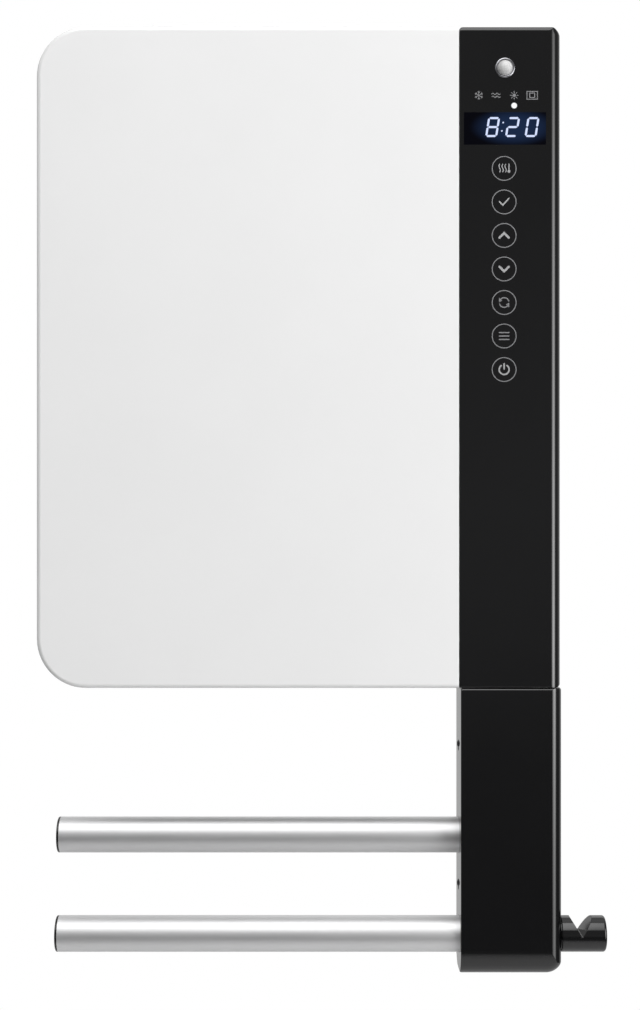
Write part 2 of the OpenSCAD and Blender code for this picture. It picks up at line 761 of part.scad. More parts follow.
module filter_cassette() {
    t = 1.6;
    x0 = slot_x0 + flange_w;
    x1 = slot_x1 - flange_w;
    y0 = slot_y0 + flange_w;
    y1 = slot_y1 - flange_w;
    color([0.88, 0.88, 0.88]) {
        difference() {
            union() {
                block(slot_x0, slot_x1, slot_y0, slot_y1, cassette_z, cassette_z + 2);
                block(x0, x1, y0, y1, cassette_z - basket_h, cassette_z + 1);
            }
            block(x0 + t, x1 - t, y0 + t, y1 - t, cassette_z - basket_h + ledge_t, cassette_z + 3);
            // the mesh lies on the ledge that this leaves
            block(x0 + t + 2, x1 - t - 2, y0 + t + 2, y1 - t - 2, cassette_z - basket_h - 1, cassette_z);
        }
        // bars across the top
        for (x = [x0 + slat_pitch:slat_pitch:x1 - 3])
            block(x - 0.9, x + 0.9, y0, y1, cassette_z - 4, cassette_z + 2);
        // pull rim along the front edge
        along_y(slot_y0, slot_y0 + 2.5)
            rounded(slot_x0, cassette_z + 1, slot_x1, cassette_z + pull_h, [0, 0, 3, 3]);
    }
}

module filter_mesh() {
    t = 1.6 + fit_gap;
    x0 = slot_x0 + flange_w + t;
    x1 = slot_x1 - flange_w - t;
    y0 = slot_y0 + flange_w + t;
    y1 = slot_y1 - flange_w - t;
    nx = floor((x1 - x0) / 9);
    ny = floor((y1 - y0) / 9);
    px = (x1 - x0) / nx;
    py = (y1 - y0) / ny;
    mesh_z = cassette_z - basket_h + ledge_t;
    color([0.3, 0.32, 0.35]) along_z(mesh_z, mesh_z + 1) difference() {
        translate([x0, y0]) square([x1 - x0, y1 - y0]);
        for (i = [0:nx - 1], j = [0:ny - 1])
            translate([x0 + i * px + 0.7, y0 + j * py + 0.7]) square([px - 1.4, py - 1.4]);
    }
}

// ---- Fan ----

scroll_r0 = fan_r + tip_gap;
scroll_r1 = min(-fan_y + duct_y1 - 1, scroll_r0 + 5);
guide_t = 1.6;
guide_z0 = heater_z0 + heater_h;
// Radius of the scroll wall, which opens from the top round to the outlet
function scroll(a) = scroll_r0 + (scroll_r1 - scroll_r0) * (120 - a) / 160;
function polar(r, a) = [fan_y + r * cos(a), fan_z + r * sin(a)];
scroll_steps = [for (i = [0:20]) 120 - i * 8];

// Rear scroll wall and front tongue of the air duct, in one folded sheet each
module air_guide() {
    inner = [for (a = scroll_steps) polar(scroll(a), a)];
    outer = [for (a = scroll_steps) polar(scroll(a) + guide_t, a)];
    n = len(inner);
    tip = polar(scroll_r0, 205);
    color([0.7, 0.71, 0.73]) {
        along_x(heater_x0, heater_x1) polygon(concat(
            inner,
            [[duct_y1 - guide_t, guide_z0 + 6], [duct_y1 - guide_t, guide_z0], [duct_y1, guide_z0],
                [duct_y1, guide_z0 + 6]],
            [for (i = [0:n - 1]) outer[n - 1 - i]]));
        along_x(heater_x0, heater_x1) polygon([
            tip, [duct_y0 + guide_t, guide_z0 + 4], [duct_y0 + guide_t, guide_z0], [duct_y0, guide_z0],
            [duct_y0, guide_z0 + 5], [tip[0] - guide_t, tip[1] + 2]]);
    }
}

module end_plate(x, hole_r) {
    along_x(x, x + plate_t) difference() {
        rounded(duct_y0, plate_z0, duct_y1, plate_z1, [0, 0, plate_r, plate_r]);
        translate([fan_y, fan_z]) circle(hole_r);
    }
}

module left_end_plate() { color([0.72, 0.73, 0.75]) end_plate(left_plate_x, mount_r + fit_gap); }

module right_end_plate() {
    color([0.72, 0.73, 0.75]) {
        end_plate(right_plate_x, bush_r + 3);
        // posts that carry the motor
        for (p = motor_screw_places) difference() {
            rod_x(right_plate_x + plate_t - eps, stator_x, p[0], p[1], 3.5);
            rod_x(stator_x - 8, stator_x + 1, p[0], p[1], motor_screw_r);
        }
    }
}

// One curved blade, drawn in the plane across the axis
module blade() {
    r = blade_w * 0.95;
    translate([fan_r - blade_w - 0.5, 0]) rotate(-32) translate([0, r])
        intersection() {
            difference() { circle(r); circle(r - blade_t); }
            polygon([[0, 0], [-0.15 * r, -1.6 * r], [1.7 * r, -0.95 * r]]);
        }
}

// Crossflow impeller: a ring of forward-curved blades between discs
module fan_impeller() {
    discs = 4;
    disc_t = 1.5;
    color([0.2, 0.2, 0.22]) {
        along_x(fan_x0, fan_x1) translate([fan_y, fan_z])
            for (i = [0:blade_count - 1]) rotate(i * 360 / blade_count) blade();
        for (k = [0:discs]) {
            x = fan_x0 + k * (fan_l - disc_t) / discs;
            hub = k == 0 || k == discs;
            along_x(x, x + disc_t) translate([fan_y, fan_z]) difference() {
                circle(fan_r);
                circle(hub ? shaft_r + fit_gap : fan_r - blade_w);
            }
        }
        for (x = [fan_x0, fan_x1 - 10]) along_x(x, x + 10) translate([fan_y, fan_z]) difference() {
            circle(shaft_r + 4);
            circle(shaft_r + fit_gap);
        }
    }
}

stator_half = 28;
stack_x0 = stator_x + strap_t;
stack_x1 = stack_x0 + stator_l;
motor_x1 = stack_x1 + strap_t;
stator_drop = 22;
limb_rise = 31;
limb_t = 9;
limb_z0 = fan_z + limb_rise;
limb_z1 = limb_z0 + limb_t;
coil_t = 9;
coil_half = 16;
slot_half = 17;
slot_h = 11;
motor_screw_dy = 23.5;
motor_screw_drop = 17;
motor_screw_places = [for (s = [-1, 1]) [fan_y + s * motor_screw_dy, fan_z - motor_screw_drop]];
motor_screw_r = 1.6;

module fan_shaft() {
    color([0.75, 0.75, 0.78]) rod_x(left_plate_x - 6, stack_x1 + bush_l + 2, fan_y, fan_z, shaft_r);
}

// Laminated stack with the rotor's bore and a window for the coil
module motor_stator() {
    color([0.45, 0.45, 0.47]) along_x(stack_x0, stack_x1) difference() {
        translate([fan_y - stator_half, fan_z - stator_drop])
            square([2 * stator_half, limb_rise + limb_t + stator_drop]);
        translate([fan_y, fan_z]) circle(rotor_r + air_gap);
        translate([fan_y - slot_half, limb_z0 - slot_h]) square([2 * slot_half, slot_h]);
        for (p = motor_screw_places) translate(p) circle(motor_screw_r + fit_gap);
    }
}

// Winding round the stack's upper limb
module motor_coil() {
    color([0.75, 0.4, 0.15]) difference() {
        block(stack_x0 - coil_t, stack_x1 + coil_t, fan_y - coil_half, fan_y + coil_half,
            limb_z0 - coil_t, limb_z1 + coil_t);
        block(stack_x0, stack_x1, fan_y - slot_half, fan_y + slot_half, limb_z0, limb_z1);
    }
}

// Two pressed straps against the stack, which hold the bushes
module motor_straps() {
    color([0.72, 0.73, 0.75]) for (x = [stator_x, stack_x1]) along_x(x, x + strap_t) difference() {
        translate([fan_y, fan_z])
            rounded(-stator_half, -stator_drop, stator_half, stator_drop / 2, [5, 5, 10, 10]);
        translate([fan_y, fan_z]) circle(bush_r + fit_gap);
        for (p = motor_screw_places) translate(p) circle(motor_screw_r + fit_gap);
    }
}

module motor_screws() {
    color([0.6, 0.6, 0.62]) for (p = motor_screw_places) {
        rod_x(motor_x1, motor_x1 + 2, p[0], p[1], 3);
        rod_x(stator_x - 7, motor_x1 + eps, p[0], p[1], motor_screw_r - fit_gap);
    }
}

module motor_rotor() {
    color([0.55, 0.56, 0.58]) along_x(stack_x0 + 0.5, stack_x1 - 0.5) translate([fan_y, fan_z]) difference() {
        circle(rotor_r);
        circle(shaft_r + fit_gap);
    }
}

module bush(x) {
    along_x(x, x + bush_l) translate([fan_y, fan_z]) difference() {
        circle(bush_r);
        circle(shaft_r + run_gap);
    }
}

module shaft_bushes() {
    color([0.72, 0.55, 0.3]) {
        bush(left_plate_x + plate_t / 2 - bush_l / 2);
        bush(stack_x0 - bush_l);
        bush(stack_x1);
    }
}

module rubber_bearing_mount() {
    x = left_plate_x + plate_t / 2 - bush_l / 2;
    color([0.1, 0.1, 0.1]) along_x(x, x + bush_l) translate([fan_y, fan_z]) difference() {
        circle(mount_r);
        circle(bush_r + fit_gap);
    }
}

// ---- Heating element ----

module heater_frame() {
    y0 = heater_y - heater_d / 2 - frame_bar;
    y1 = heater_y + heater_d / 2 + frame_bar;
    color([0.85, 0.82, 0.75]) difference() {
        block(heater_x0, heater_x1, y0, y1, heater_z0, heater_z0 + heater_h);
        block(heater_x0 + 8, heater_x1 - 8, y0 + frame_bar, y1 - frame_bar,
            heater_z0 - 1, heater_z0 + heater_h + 1);
    }
}

// Heating rows: flat tubes with a comb of fins on each side
module heating_rows() {
    x0 = heater_x0 + 8;
    x1 = heater_x1 - 8;
    n = floor((x1 - x0 - 4) / fin_pitch);
    tube = 4;
    color([0.8, 0.8, 0.82]) for (i = [0:row_count - 1]) {
        y = heater_y - heater_d / 2 + (i + 0.5) * row_pitch;
        along_z(heater_z0 + 2, heater_z0 + heater_h - 2) union() {
            translate([x0, y - tube / 2]) square([x1 - x0, tube]);
            for (k = [0:n])
                translate([x0 + 2 + k * fin_pitch, y - row_pitch / 2 + 0.5]) square([0.8, row_pitch - 1]);
        }
    }
}

module thermal_cutout() {
    x = heater_x0 + 4;
    z = heater_z0 + heater_h;
    color([0.15, 0.15, 0.15]) {
        translate([x + 5, heater_y, z]) cylinder(h = 6, r = 8);
        for (s = [-1, 1])
            block(x + 2, x + 8, heater_y + s * 4 - 0.4, heater_y + s * 4 + 0.4, z + 6 - eps, z + 13);
    }
}

// Outlet grille: a frame with a long middle bar and a row of vanes
module outlet_grille() {
    x0 = outlet_x0 + slip_gap;
    x1 = outlet_x1 - slip_gap;
    y0 = duct_y0 + slip_gap;
    y1 = duct_y1 - slip_gap;
    z0 = casing_z0;
    z1 = casing_z0 + grille_h;
    color([0.2, 0.2, 0.22]) {
        difference() {
            union() {
                block(x0, x1, y0, y1, z0, z1);
                block(x0 - 3, x1 + 3, y0 - 3, y1 + 3, z0 - 2, z0);
            }
            block(x0 + 2, x1 - 2, y0 + 2, y1 - 2, z0 - 3, z1 + 1);
        }
        for (x = [x0 + vane_pitch:vane_pitch:x1 - 4])
            block(x - 0.8, x + 0.8, y0 + 1, y1 - 1, z0 - 2, z1 - 1);
        for (y = [y0 + (y1 - y0) / 3, y0 + 2 * (y1 - y0) / 3])
            block(x0 + 1, x1 - 1, y - 0.8, y + 0.8, z0 - 1, z1 - 3);
    }
}

// ---- Tower ----

tongue_holes = [for (s = [-1, 1], z = tongue_hole_z) [tower_x + s * tongue_hole_dx / 2, z]];
standoff_holes = [for (s = [-1, 1]) [tower_x, standoff_z + s * standoff_dz / 2]];
standoff_bosses = [for (x = [-1, 1], z = [-1, 1])
    [tower_x + x * (standoff_w / 2 - 7), standoff_z + z * (standoff_h / 2 - 7)]];
standoff_screw_r = 1.9;
standoff_screw_l = 16;

module tower_form(inset) {
    x0 = tower_x0 + inset;
    x1 = tower_x1 - inset;
    y0 = front_y + inset;
    y1 = tower_y1 - inset;
    z0 = tower_z0 + inset;
    z1 = tower_z1 - inset;
    function in(r) = max(r - inset, 0);
    intersection() {
        along_y(y0, y1) rounded(x0, z0, x1, z1, [in(1.5), in(9.5), in(2), in(1.5)]);
        along_z(z0, z1) rounded(x0, y0, x1, y1, [in(0.8), in(long_edge_r), in(3), in(3)]);
        along_x(x0, x1) rounded(y0, z0, y1, z1, [in(chin_r), in(heel_r), in(1.5), in(1.2)]);
    }
}

// What passes through the two side walls: the bars on the left and the hook on the right
module tower_side_holes() {
    for (p = bar_places) rod_x(tower_x0 - 1, tower_x0 + tower_wall + 1, p[0], p[1], bar_hole_r);
    rod_x(tower_x1 - tower_wall - 1, tower_x1 + 1, bar_places[1][0], bar_places[1][1], spigot_r + slip_gap);
}

lug_t = 3.5;
recess_t = 1.5;
recess_r = 3.75;

module tower_front_shell() {
    x0 = tower_x0 + tower_wall;
    color([0.05, 0.05, 0.055]) difference() {
        union() {
            difference() {
                intersection() {
                    tower_form(0);
                    block(tower_x0 - 1, tower_x1 + 1, front_y - 1, seam_y, tower_z0 - 1, tower_z1 + 1);
                }
                tower_form(tower_wall);
            }
            // lugs that reach behind the seam and take the two side screws
            for (z = cover_screw_z) block(x0, x0 + lug_t, seam_y - 6, cover_screw_y + 5, z - 6, z + 6);
        }
        tower_side_holes();
        for (z = cover_screw_z) rod_x(x0 - 1, x0 + lug_t + 1, cover_screw_y, z, front_screw_r);
    }
}

module tower_rear_shell() {
    top = tower_z1 - tower_wall;
    color([0.05, 0.05, 0.055]) difference() {
        intersection() {
            tower_form(0);
            block(tower_x0 - 1, tower_x1 + 1, seam_y, tower_y1 + 1, tower_z0 - 1, tower_z1 + 1);
        }
        tower_form(tower_wall);
        tower_side_holes();
        for (z = cover_screw_z) {
            rod_x(tower_x0 - 1, tower_x0 + recess_t, cover_screw_y, z, recess_r);
            rod_x(tower_x0, tower_x0 + tower_wall + 1, cover_screw_y, z, front_screw_r + fit_gap);
        }
        block(tower_x - tongue_w / 2 - slip_gap, tower_x + tongue_w / 2 + slip_gap,
            web_y - frame_t - slip_gap, web_y, top - 1, tower_z1 + 1);
        for (p = standoff_holes) rod_y(web_y - 1, tower_y1 + 1, p[0], p[1], driver_r);
        for (p = standoff_bosses) rod_y(web_y - 1, tower_y1 + 1, p[0], p[1], standoff_screw_r + fit_gap);
    }
}

module slanted_corner(y, z, side, size) {
    polygon([[y - side, z - 1], [y + side * (size + 1), z - 1], [y - side, z + size + 1]]);
}

// Folded steel channel that carries the bars and the hook, with a tongue up into the casing
module tower_frame() {
    t = frame_t;
    z0 = tower_z0 + tower_wall + 3;
    z1 = tower_z1 - tower_wall - 3;
    color([0.7, 0.71, 0.73]) difference() {
        union() {
            difference() {
                block(frame_x0, frame_x1, flange_y, web_y, z0, z1);
                block(frame_x0 + t, frame_x1 - t, flange_y - 1, web_y - t, z0 - 1, z1 + 1);
            }
            block(tower_x - tongue_w / 2, tower_x + tongue_w / 2, web_y - t, web_y, z1 - 2, tongue_z1);
        }
        for (p = bar_places) rod_x(frame_x0 - 1, frame_x0 + t + 1, p[0], p[1], bolt_r + fit_gap);
        rod_x(frame_x1 - t - 1, frame_x1 + 1, bar_places[1][0], bar_places[1][1], bolt_r + fit_gap);
        for (p = tongue_holes) rod_y(web_y - t - 1, web_y + 1, p[0], p[1], front_screw_r + fit_gap);
        for (p = standoff_holes) rod_y(web_y - t - 1, web_y + 1, p[0], p[1], driver_r);
        for (p = standoff_bosses) rod_y(web_y - t - 1, web_y + 1, p[0], p[1], standoff_screw_r + fit_gap);
        // cut off at a slant where the shells' chin and heel curve in
        along_x(frame_x0 - 1, frame_x1 + 1) {
            slanted_corner(flange_y, z0, 1, chin_r * 0.85);
            slanted_corner(web_y, z0, -1, heel_r * 0.85);
        }
    }
}

// Moulded box that carries the tower's lower end on the wall
module tower_standoff() {
    w = 2.5;
    x0 = tower_x - standoff_w / 2;
    x1 = tower_x + standoff_w / 2;
    z0 = standoff_z - standoff_h / 2;
    z1 = standoff_z + standoff_h / 2;
    color([0.08, 0.08, 0.085]) difference() {
        union() {
            difference() {
                along_y(tower_y1, 0) rounded(x0, z0, x1, z1, [8, 8, 8, 8]);
                along_y(tower_y1 - 1, -standoff_foot) rounded(x0 + w, z0 + w, x1 - w, z1 - w, [6, 6, 6, 6]);
            }
            for (p = standoff_bosses) rod_y(tower_y1, -standoff_foot + eps, p[0], p[1], 4.6);
        }
        for (p = standoff_bosses)
            rod_y(tower_y1 - 1, tower_y1 + standoff_screw_l * 1.25, p[0], p[1], standoff_screw_r);
        for (p = standoff_holes) rod_y(-standoff_foot - 1, 1, p[0], p[1], wall_hole_r);
    }
}

module standoff_screws() {
    color([0.6, 0.6, 0.62]) for (p = standoff_bosses)
        screw_y(p[0], p[1], web_y - frame_t, tower_wall + frame_t + standoff_screw_l,
            standoff_screw_r - fit_gap, standoff_screw_r * 1.9, standoff_screw_r * 1.16);
}

// Screws from inside the casing that hold the tower's tongue to the chassis
module tongue_screws() {
    color([0.6, 0.6, 0.62]) for (p = tongue_holes) {
        rod_y(web_y, web_y + 2, p[0], p[1], 3);
        rod_y(casing_y0 + 2, web_y + eps, p[0], p[1], front_screw_r - fit_gap);
    }
}

module cover_screws() {
    color([0.4, 0.4, 0.42]) for (z = cover_screw_z) {
        rod_x(tower_x0 + slip_gap, tower_x0 + recess_t, cover_screw_y, z, recess_r * 0.8);
        rod_x(tower_x0 + recess_t - eps, tower_x0 + tower_wall + lug_t, cover_screw_y, z,
            front_screw_r - fit_gap);
    }
}

// ---- Towel bars and robe hook ----

module towel_bar(p) {
    color([0.75, 0.75, 0.76]) difference() {
        rod_x(bar_x0 + cap_t, frame_x0, p[0], p[1], bar_r);
        rod_x(bar_x0, frame_x0 + 1, p[0], p[1], bore_r);
    }
}

module towel_bar_upper() { towel_bar(bar_places[0]); }
module towel_bar_lower() { towel_bar(bar_places[1]); }

module bar_end_caps() {
    color([0.06, 0.06, 0.06]) for (p = bar_places) difference() {
        translate([bar_x0, p[0], p[1]]) rotate([0, 90, 0]) rotate_extrude() {
            rounded(0, 0, bar_r, cap_t, [0, 0.8, 0, 0]);
            square([bore_r - fit_gap, cap_t + cap_plug_l]);
        }
        rod_x(bar_x0 + cap_t, bar_x0 + cap_t + cap_plug_l + 1, p[0], p[1], bore_r - 2);
    }
}

module bar_plugs() {
    color([0.68, 0.68, 0.7]) for (p = bar_places) difference() {
        rod_x(frame_x0 - plug_l, frame_x0, p[0], p[1], bore_r - fit_gap);
        rod_x(frame_x0 - plug_l + 6, frame_x0 + 1, p[0], p[1], bolt_r);
    }
}

module bar_bolts() {
    color([0.6, 0.6, 0.62]) for (p = bar_places) {
        x = frame_x0 + frame_t;
        rod_x(x, x + bolt_head_h, p[0], p[1], bolt_head_r);
        rod_x(frame_x0 - plug_l + 8, x + eps, p[0], p[1], bolt_r - fit_gap);
    }
}

// Round peg with a notch cut across its top, to hang a robe's loop on
module robe_hook() {
    p = bar_places[1];
    x0 = tower_x1;
    x1 = tower_x1 + hook_l;
    notch_z = p[1] + notch_rise;
    reach = hook_r + 3 - notch_rise;
    color([0.05, 0.05, 0.055]) difference() {
        translate([0, p[0], p[1]]) rotate([0, 90, 0]) rotate_extrude() {
            translate([0, x0]) square([hook_r - 1.2, 2]);
            rounded(0, x0, hook_r, x1, [0, 0.8, 1.8, 0]);
            translate([0, frame_x1]) square([spigot_r, x0 - frame_x1 + 1]);
        }
        along_y(p[0] - hook_r - 1, p[0] + hook_r + 1)
            polygon([
                [notch_x, notch_z],
                [notch_x + reach * tan(notch_slant), notch_z + reach],
                [notch_x - reach * tan(notch_slant), notch_z + reach]
            ]);
        rod_x(frame_x1 - 1, x0 + 4, p[0], p[1], bolt_r);
    }
}

module hook_bolt() {
    p = bar_places[1];
    x = frame_x1 - frame_t;
    color([0.6, 0.6, 0.62]) {
        rod_x(x - bolt_head_h, x, p[0], p[1], bolt_head_r);
        rod_x(x - eps, tower_x1 + 3, p[0], p[1], bolt_r - fit_gap);
    }
}

front_panel();
control_fascia();
display_window();
pir_dome();
pir_bezel();
status_light_guide();
control_board();
display_module();
touch_pads();
pir_sensor();
status_led();
front_chassis();
rear_casing();
wall_bracket();
power_board();
relays();
terminal_block();
cable_grommet();
mains_switch_body();
mains_rocker();
filter_cassette();
filter_mesh();
air_guide();
left_end_plate();
right_end_plate();
fan_impeller();
fan_shaft();
motor_stator();
motor_coil();
motor_straps();
motor_screws();
motor_rotor();
shaft_bushes();
rubber_bearing_mount();
heater_frame();
heating_rows();
thermal_cutout();
outlet_grille();
casing_screws();
panel_screws();
tower_front_shell();
tower_rear_shell();
tower_frame();
tower_standoff();
standoff_screws();
tongue_screws();
cover_screws();
towel_bar_upper();
towel_bar_lower();
bar_end_caps();
bar_plugs();
bar_bolts();
robe_hook();
hook_bolt();
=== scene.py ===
from math import cos, hypot, pi, radians, sin, sqrt, tan

import bmesh
import bpy
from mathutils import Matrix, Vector


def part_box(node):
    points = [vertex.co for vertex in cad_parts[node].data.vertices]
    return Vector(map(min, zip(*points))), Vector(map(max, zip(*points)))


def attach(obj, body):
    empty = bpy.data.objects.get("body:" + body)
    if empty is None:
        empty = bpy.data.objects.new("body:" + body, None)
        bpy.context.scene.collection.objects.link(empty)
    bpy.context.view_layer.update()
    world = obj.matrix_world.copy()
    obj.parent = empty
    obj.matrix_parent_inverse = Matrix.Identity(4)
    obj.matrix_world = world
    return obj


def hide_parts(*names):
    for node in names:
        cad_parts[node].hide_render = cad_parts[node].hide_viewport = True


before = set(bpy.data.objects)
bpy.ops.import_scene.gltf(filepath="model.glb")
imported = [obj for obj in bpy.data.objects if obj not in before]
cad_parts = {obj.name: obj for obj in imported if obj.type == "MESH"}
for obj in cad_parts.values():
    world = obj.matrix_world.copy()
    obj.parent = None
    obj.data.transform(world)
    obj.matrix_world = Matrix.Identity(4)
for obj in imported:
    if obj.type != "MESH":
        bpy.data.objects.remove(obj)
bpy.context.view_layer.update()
mm = 0.001


def metres(values):
    return tuple(v * mm for v in values)


def angles(count, step):
    # a row of angles from zero, step degrees apart
    return [radians(step * i) for i in range(count)]


def span(node):
    # x0, y0, z0, x1, y1, z1 of a CAD node, in mm
    low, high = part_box(node)
    return [c / mm for c in (*low, *high)]


def middle(node):
    x0, y0, z0, x1, y1, z1 = span(node)
    return (x0 + x1) / 2, (y0 + y1) / 2, (z0 + z1) / 2


def frontBox(node):
    x0, _, z0, x1, _, z1 = span(node)
    return x0, z0, x1, z1


def faceSpot(node):
    x, _, z = middle(node)
    return x, 0, z


def linked(name, data):
    thing = bpy.data.objects.new(name, data)
    bpy.context.scene.collection.objects.link(thing)
    return thing


def discard(*things):
    for thing in things:
        data = thing.data
        bpy.data.objects.remove(thing)
        bpy.data.meshes.remove(data)


def evaluated(*things):
    # the first object's mesh after its modifiers; the objects are removed
    graph = bpy.context.evaluated_depsgraph_get()
    mesh = bpy.data.meshes.new_from_object(things[0].evaluated_get(graph))
    discard(*things)
    return mesh


# node trees: sockets that can be summed, and materials built from them

class Wire:
    # a socket that can be used in sums; each sum adds its Math node
    def __init__(self, graph, socket):
        self.graph, self.socket = graph, socket


def operator(operation, swapped):
    def act(one, two):
        return one.graph.sum(operation, *((two, one) if swapped else (one, two)))
    return act


for word, operation in (("add", "ADD"), ("sub", "SUBTRACT"), ("mul", "MULTIPLY"),
                        ("truediv", "DIVIDE"), ("pow", "POWER")):
    setattr(Wire, f"__{word}__", operator(operation, False))
    setattr(Wire, f"__r{word}__", operator(operation, True))


class Graph:
    # adds any node: its type without the prefix, its sockets' values or links, and its settings
    prefixes = ("ShaderNode", "")

    def __init__(self, tree):
        self.tree = tree
        tree.nodes.clear()

    def add(self, kind, sockets=None, out=0, stops=(), **settings):
        full = next(p + kind for p in self.prefixes if hasattr(bpy.types, p + kind))
        node = self.tree.nodes.new(full)
        for key, value in settings.items():
            setattr(node, key, value)
        if stops:
            ramp = node.color_ramp
            while len(ramp.elements) < len(stops):
                ramp.elements.new(0.5)
            for element, (place, level) in zip(ramp.elements, stops):
                element.position = place
                element.color = (level, level, level, 1)
        for key, value in (sockets or {}).items():
            socket = node.inputs[key]
            if isinstance(value, Wire):
                self.tree.links.new(value.socket, socket)
            else:
                socket.default_value = (*value, 1) if socket.type == "RGBA" else value
        return node if out is None else Wire(self, node.outputs[out])

    def sum(self, operation, first, second):
        return self.add("Math", {0: first, 1: second}, operation=operation)

    def ramp(self, value, low, high, start=0.0, end=1.0):
        return self.add("MapRange", {
            "Value": value, "From Min": low, "From Max": high, "To Min": start, "To Max": end,
        }, interpolation_type="SMOOTHSTEP")

    def apart(self, vector):
        node = self.add("SeparateXYZ", {0: vector}, None)
        return [Wire(self, socket) for socket in node.outputs]


class Finish(Graph):
    # a material: a Principled shader fed by patterns on Object coordinates
    names = {"color": "Base Color", "rough": "Roughness", "metal": "Metallic",
             "coat": "Coat Weight", "specular": "Specular IOR Level", "glow": "Emission Color",
             "glowStrength": "Emission Strength"}

    def __init__(self, name):
        self.material = bpy.data.materials.new(name)
        self.material.use_nodes = True
        super().__init__(self.material.node_tree)
        self.place = self.add("TexCoord", out="Object")
        self.bumps = None

    def stretched(self, scale, turn=(0, 0, 0)):
        return self.add("Mapping", {"Vector": self.place, "Scale": scale, "Rotation": turn})

    def noise(self, scale, detail=3, roughness=0.5, where=None):
        return self.add("TexNoise", {"Vector": where or self.place, "Scale": scale,
                                     "Detail": detail, "Roughness": roughness})

    def cells(self, scale, randomness, out="Distance", feature="F1"):
        return self.add("TexVoronoi", {
            "Vector": self.place, "Scale": scale, "Randomness": randomness}, out, feature=feature)

    def blend(self, factor, first, second):
        return self.add("Mix", {0: factor, 6: first, 7: second}, 2, data_type="RGBA")

    def drift(self, factor, color, share):
        # from a share of a colour to the whole of it
        return self.blend(factor, tuple(c * share for c in color), color)

    def bump(self, height, distance):
        sockets = {"Height": height, "Distance": distance}
        if self.bumps:
            sockets["Normal"] = self.bumps
        self.bumps = self.add("Bump", sockets)
        return self

    def shade(self, **values):
        sockets = {self.names[key]: value for key, value in values.items()}
        if self.bumps:
            sockets["Normal"] = self.bumps
        self.add("OutputMaterial", {"Surface": self.add("BsdfPrincipled", sockets)}, None)
        return self.material


def grey(value):
    # linear value of a screen grey from 0 to 255
    v = value / 255
    return v / 12.92 if v <= 0.04045 else ((v + 0.055) / 1.055) ** 2.4


def tint(*levels):
    return tuple(grey(level) for level in levels)


# the finishes, one maker for each kind of surface

def glossPlastic(name, color, rough, peel, mottle):
    # moulded gloss: faint orange peel, handling haze and a trace of colour drift
    f = Finish(name)
    haze, dust = f.noise(14, 4, 0.6), f.noise(900, 2)
    tone = f.drift(f.ramp(haze, 0.3, 0.7), color, 1 - mottle)
    f.bump(f.noise(260, 2, 0.4), peel * mm)
    handled = f.ramp(haze, 0.25, 0.75, rough * 0.85, rough * 1.2)
    return f.shade(color=tone, rough=handled + dust * 0.02)


def satinPlastic(name, color, rough=0.42, grain=0.03):
    # spark-eroded mould texture
    f = Finish(name)
    pits, cloud = f.noise(1400, 3, 0.65), f.noise(22)
    tone = f.drift(f.ramp(cloud, 0.3, 0.7), color, 0.95)
    f.bump(pits, grain * mm)
    handled = f.ramp(cloud, 0.2, 0.8, rough - 0.04, rough + 0.05)
    return f.shade(color=tone, rough=handled + (pits - 0.5) * 0.08)


def drawnMetal(name, color, rough, lines, along=(1, 60, 60), spread=0.08):
    # extruded or turned metal: fine lines along one direction under a blasted grain
    f = Finish(name)
    streak, grain = f.noise(24, 4, 0.7, f.stretched(along)), f.noise(2600, 2, 0.6)
    wear = f.ramp(f.noise(9), 0.2, 0.8, rough - spread / 2, rough)
    f.bump(streak, lines * mm).bump(grain, 0.004 * mm)
    return f.shade(color=f.drift(streak, color, 0.94), metal=1.0, rough=wear + streak * spread)


def zincSheet(name, color):
    # galvanised sheet with spangle and a few rubbed scratches
    f = Finish(name)
    facet = f.add("SeparateColor", {0: f.cells(150, 1.0, "Color")})
    scratch = f.ramp(f.noise(60, 2, 0.5, f.stretched((1, 30, 30), (0.3, 0.2, 0.5))), 0.62, 0.68)
    f.bump(facet, 0.006 * mm).bump(scratch, 0.01 * mm)
    return f.shade(color=f.drift(facet, color, 0.86), metal=1.0,
                   rough=f.ramp(facet, 0, 1, 0.32, 0.46) - scratch * 0.1)


def circuitBoard(name, color):
    # solder mask over copper tracks, with tinned pads
    f = Finish(name)
    track = f.add("TexBrick", {
        "Vector": f.stretched((1, 1, 1), (pi / 2, 0, 0)), "Scale": 420, "Mortar Size": 0.035,
        "Mortar Smooth": 0.1, "Brick Width": 1.4, "Row Height": 0.5,
    }, "Fac", offset=0.4, squash=1.6, squash_frequency=3)
    tin = f.ramp(f.cells(260, 0.8), 0.17, 0.14)
    mask = f.blend(track, color, tuple(c * 2.1 for c in color))
    f.bump(track, 0.03 * mm).bump(tin, 0.05 * mm)
    return f.shade(color=f.blend(tin, mask, (0.62, 0.63, 0.62)), metal=tin,
                   rough=f.ramp(tin, 0, 1, 0.32, 0.28), coat=1 - tin)


def windingFinish(name, color):
    # lacquered copper wire, turn beside turn
    f = Finish(name)
    turns = f.add("TexWave", {
        "Vector": f.place, "Scale": 420, "Distortion": 1.5, "Detail": 2, "Detail Scale": 0.6,
    }, "Fac", bands_direction="Z", wave_profile="SIN")
    f.bump(turns, 0.12 * mm)
    # painted shade: the copper darkens to about a third of its colour in the grooves between turns,
    # where the bump is lowest
    return f.shade(color=f.drift(turns, color, 0.35), metal=0.9, coat=0.6,
                   rough=f.ramp(turns, 0, 1, 0.45, 0.25))


def laminated(name, color):
    # stacked stampings
    f = Finish(name)
    sheet = f.add("TexWave", {"Vector": f.place, "Scale": 640, "Distortion": 0.2}, "Fac",
                  bands_direction="X", wave_profile="SAW")
    stain = f.noise(120, 4, 0.6)
    f.bump(sheet, 0.06 * mm)
    return f.shade(color=f.blend(f.ramp(stain, 0.35, 0.7), color, (0.12, 0.085, 0.06)), metal=0.85,
                   rough=f.ramp(stain, 0.3, 0.7, 0.38, 0.58))


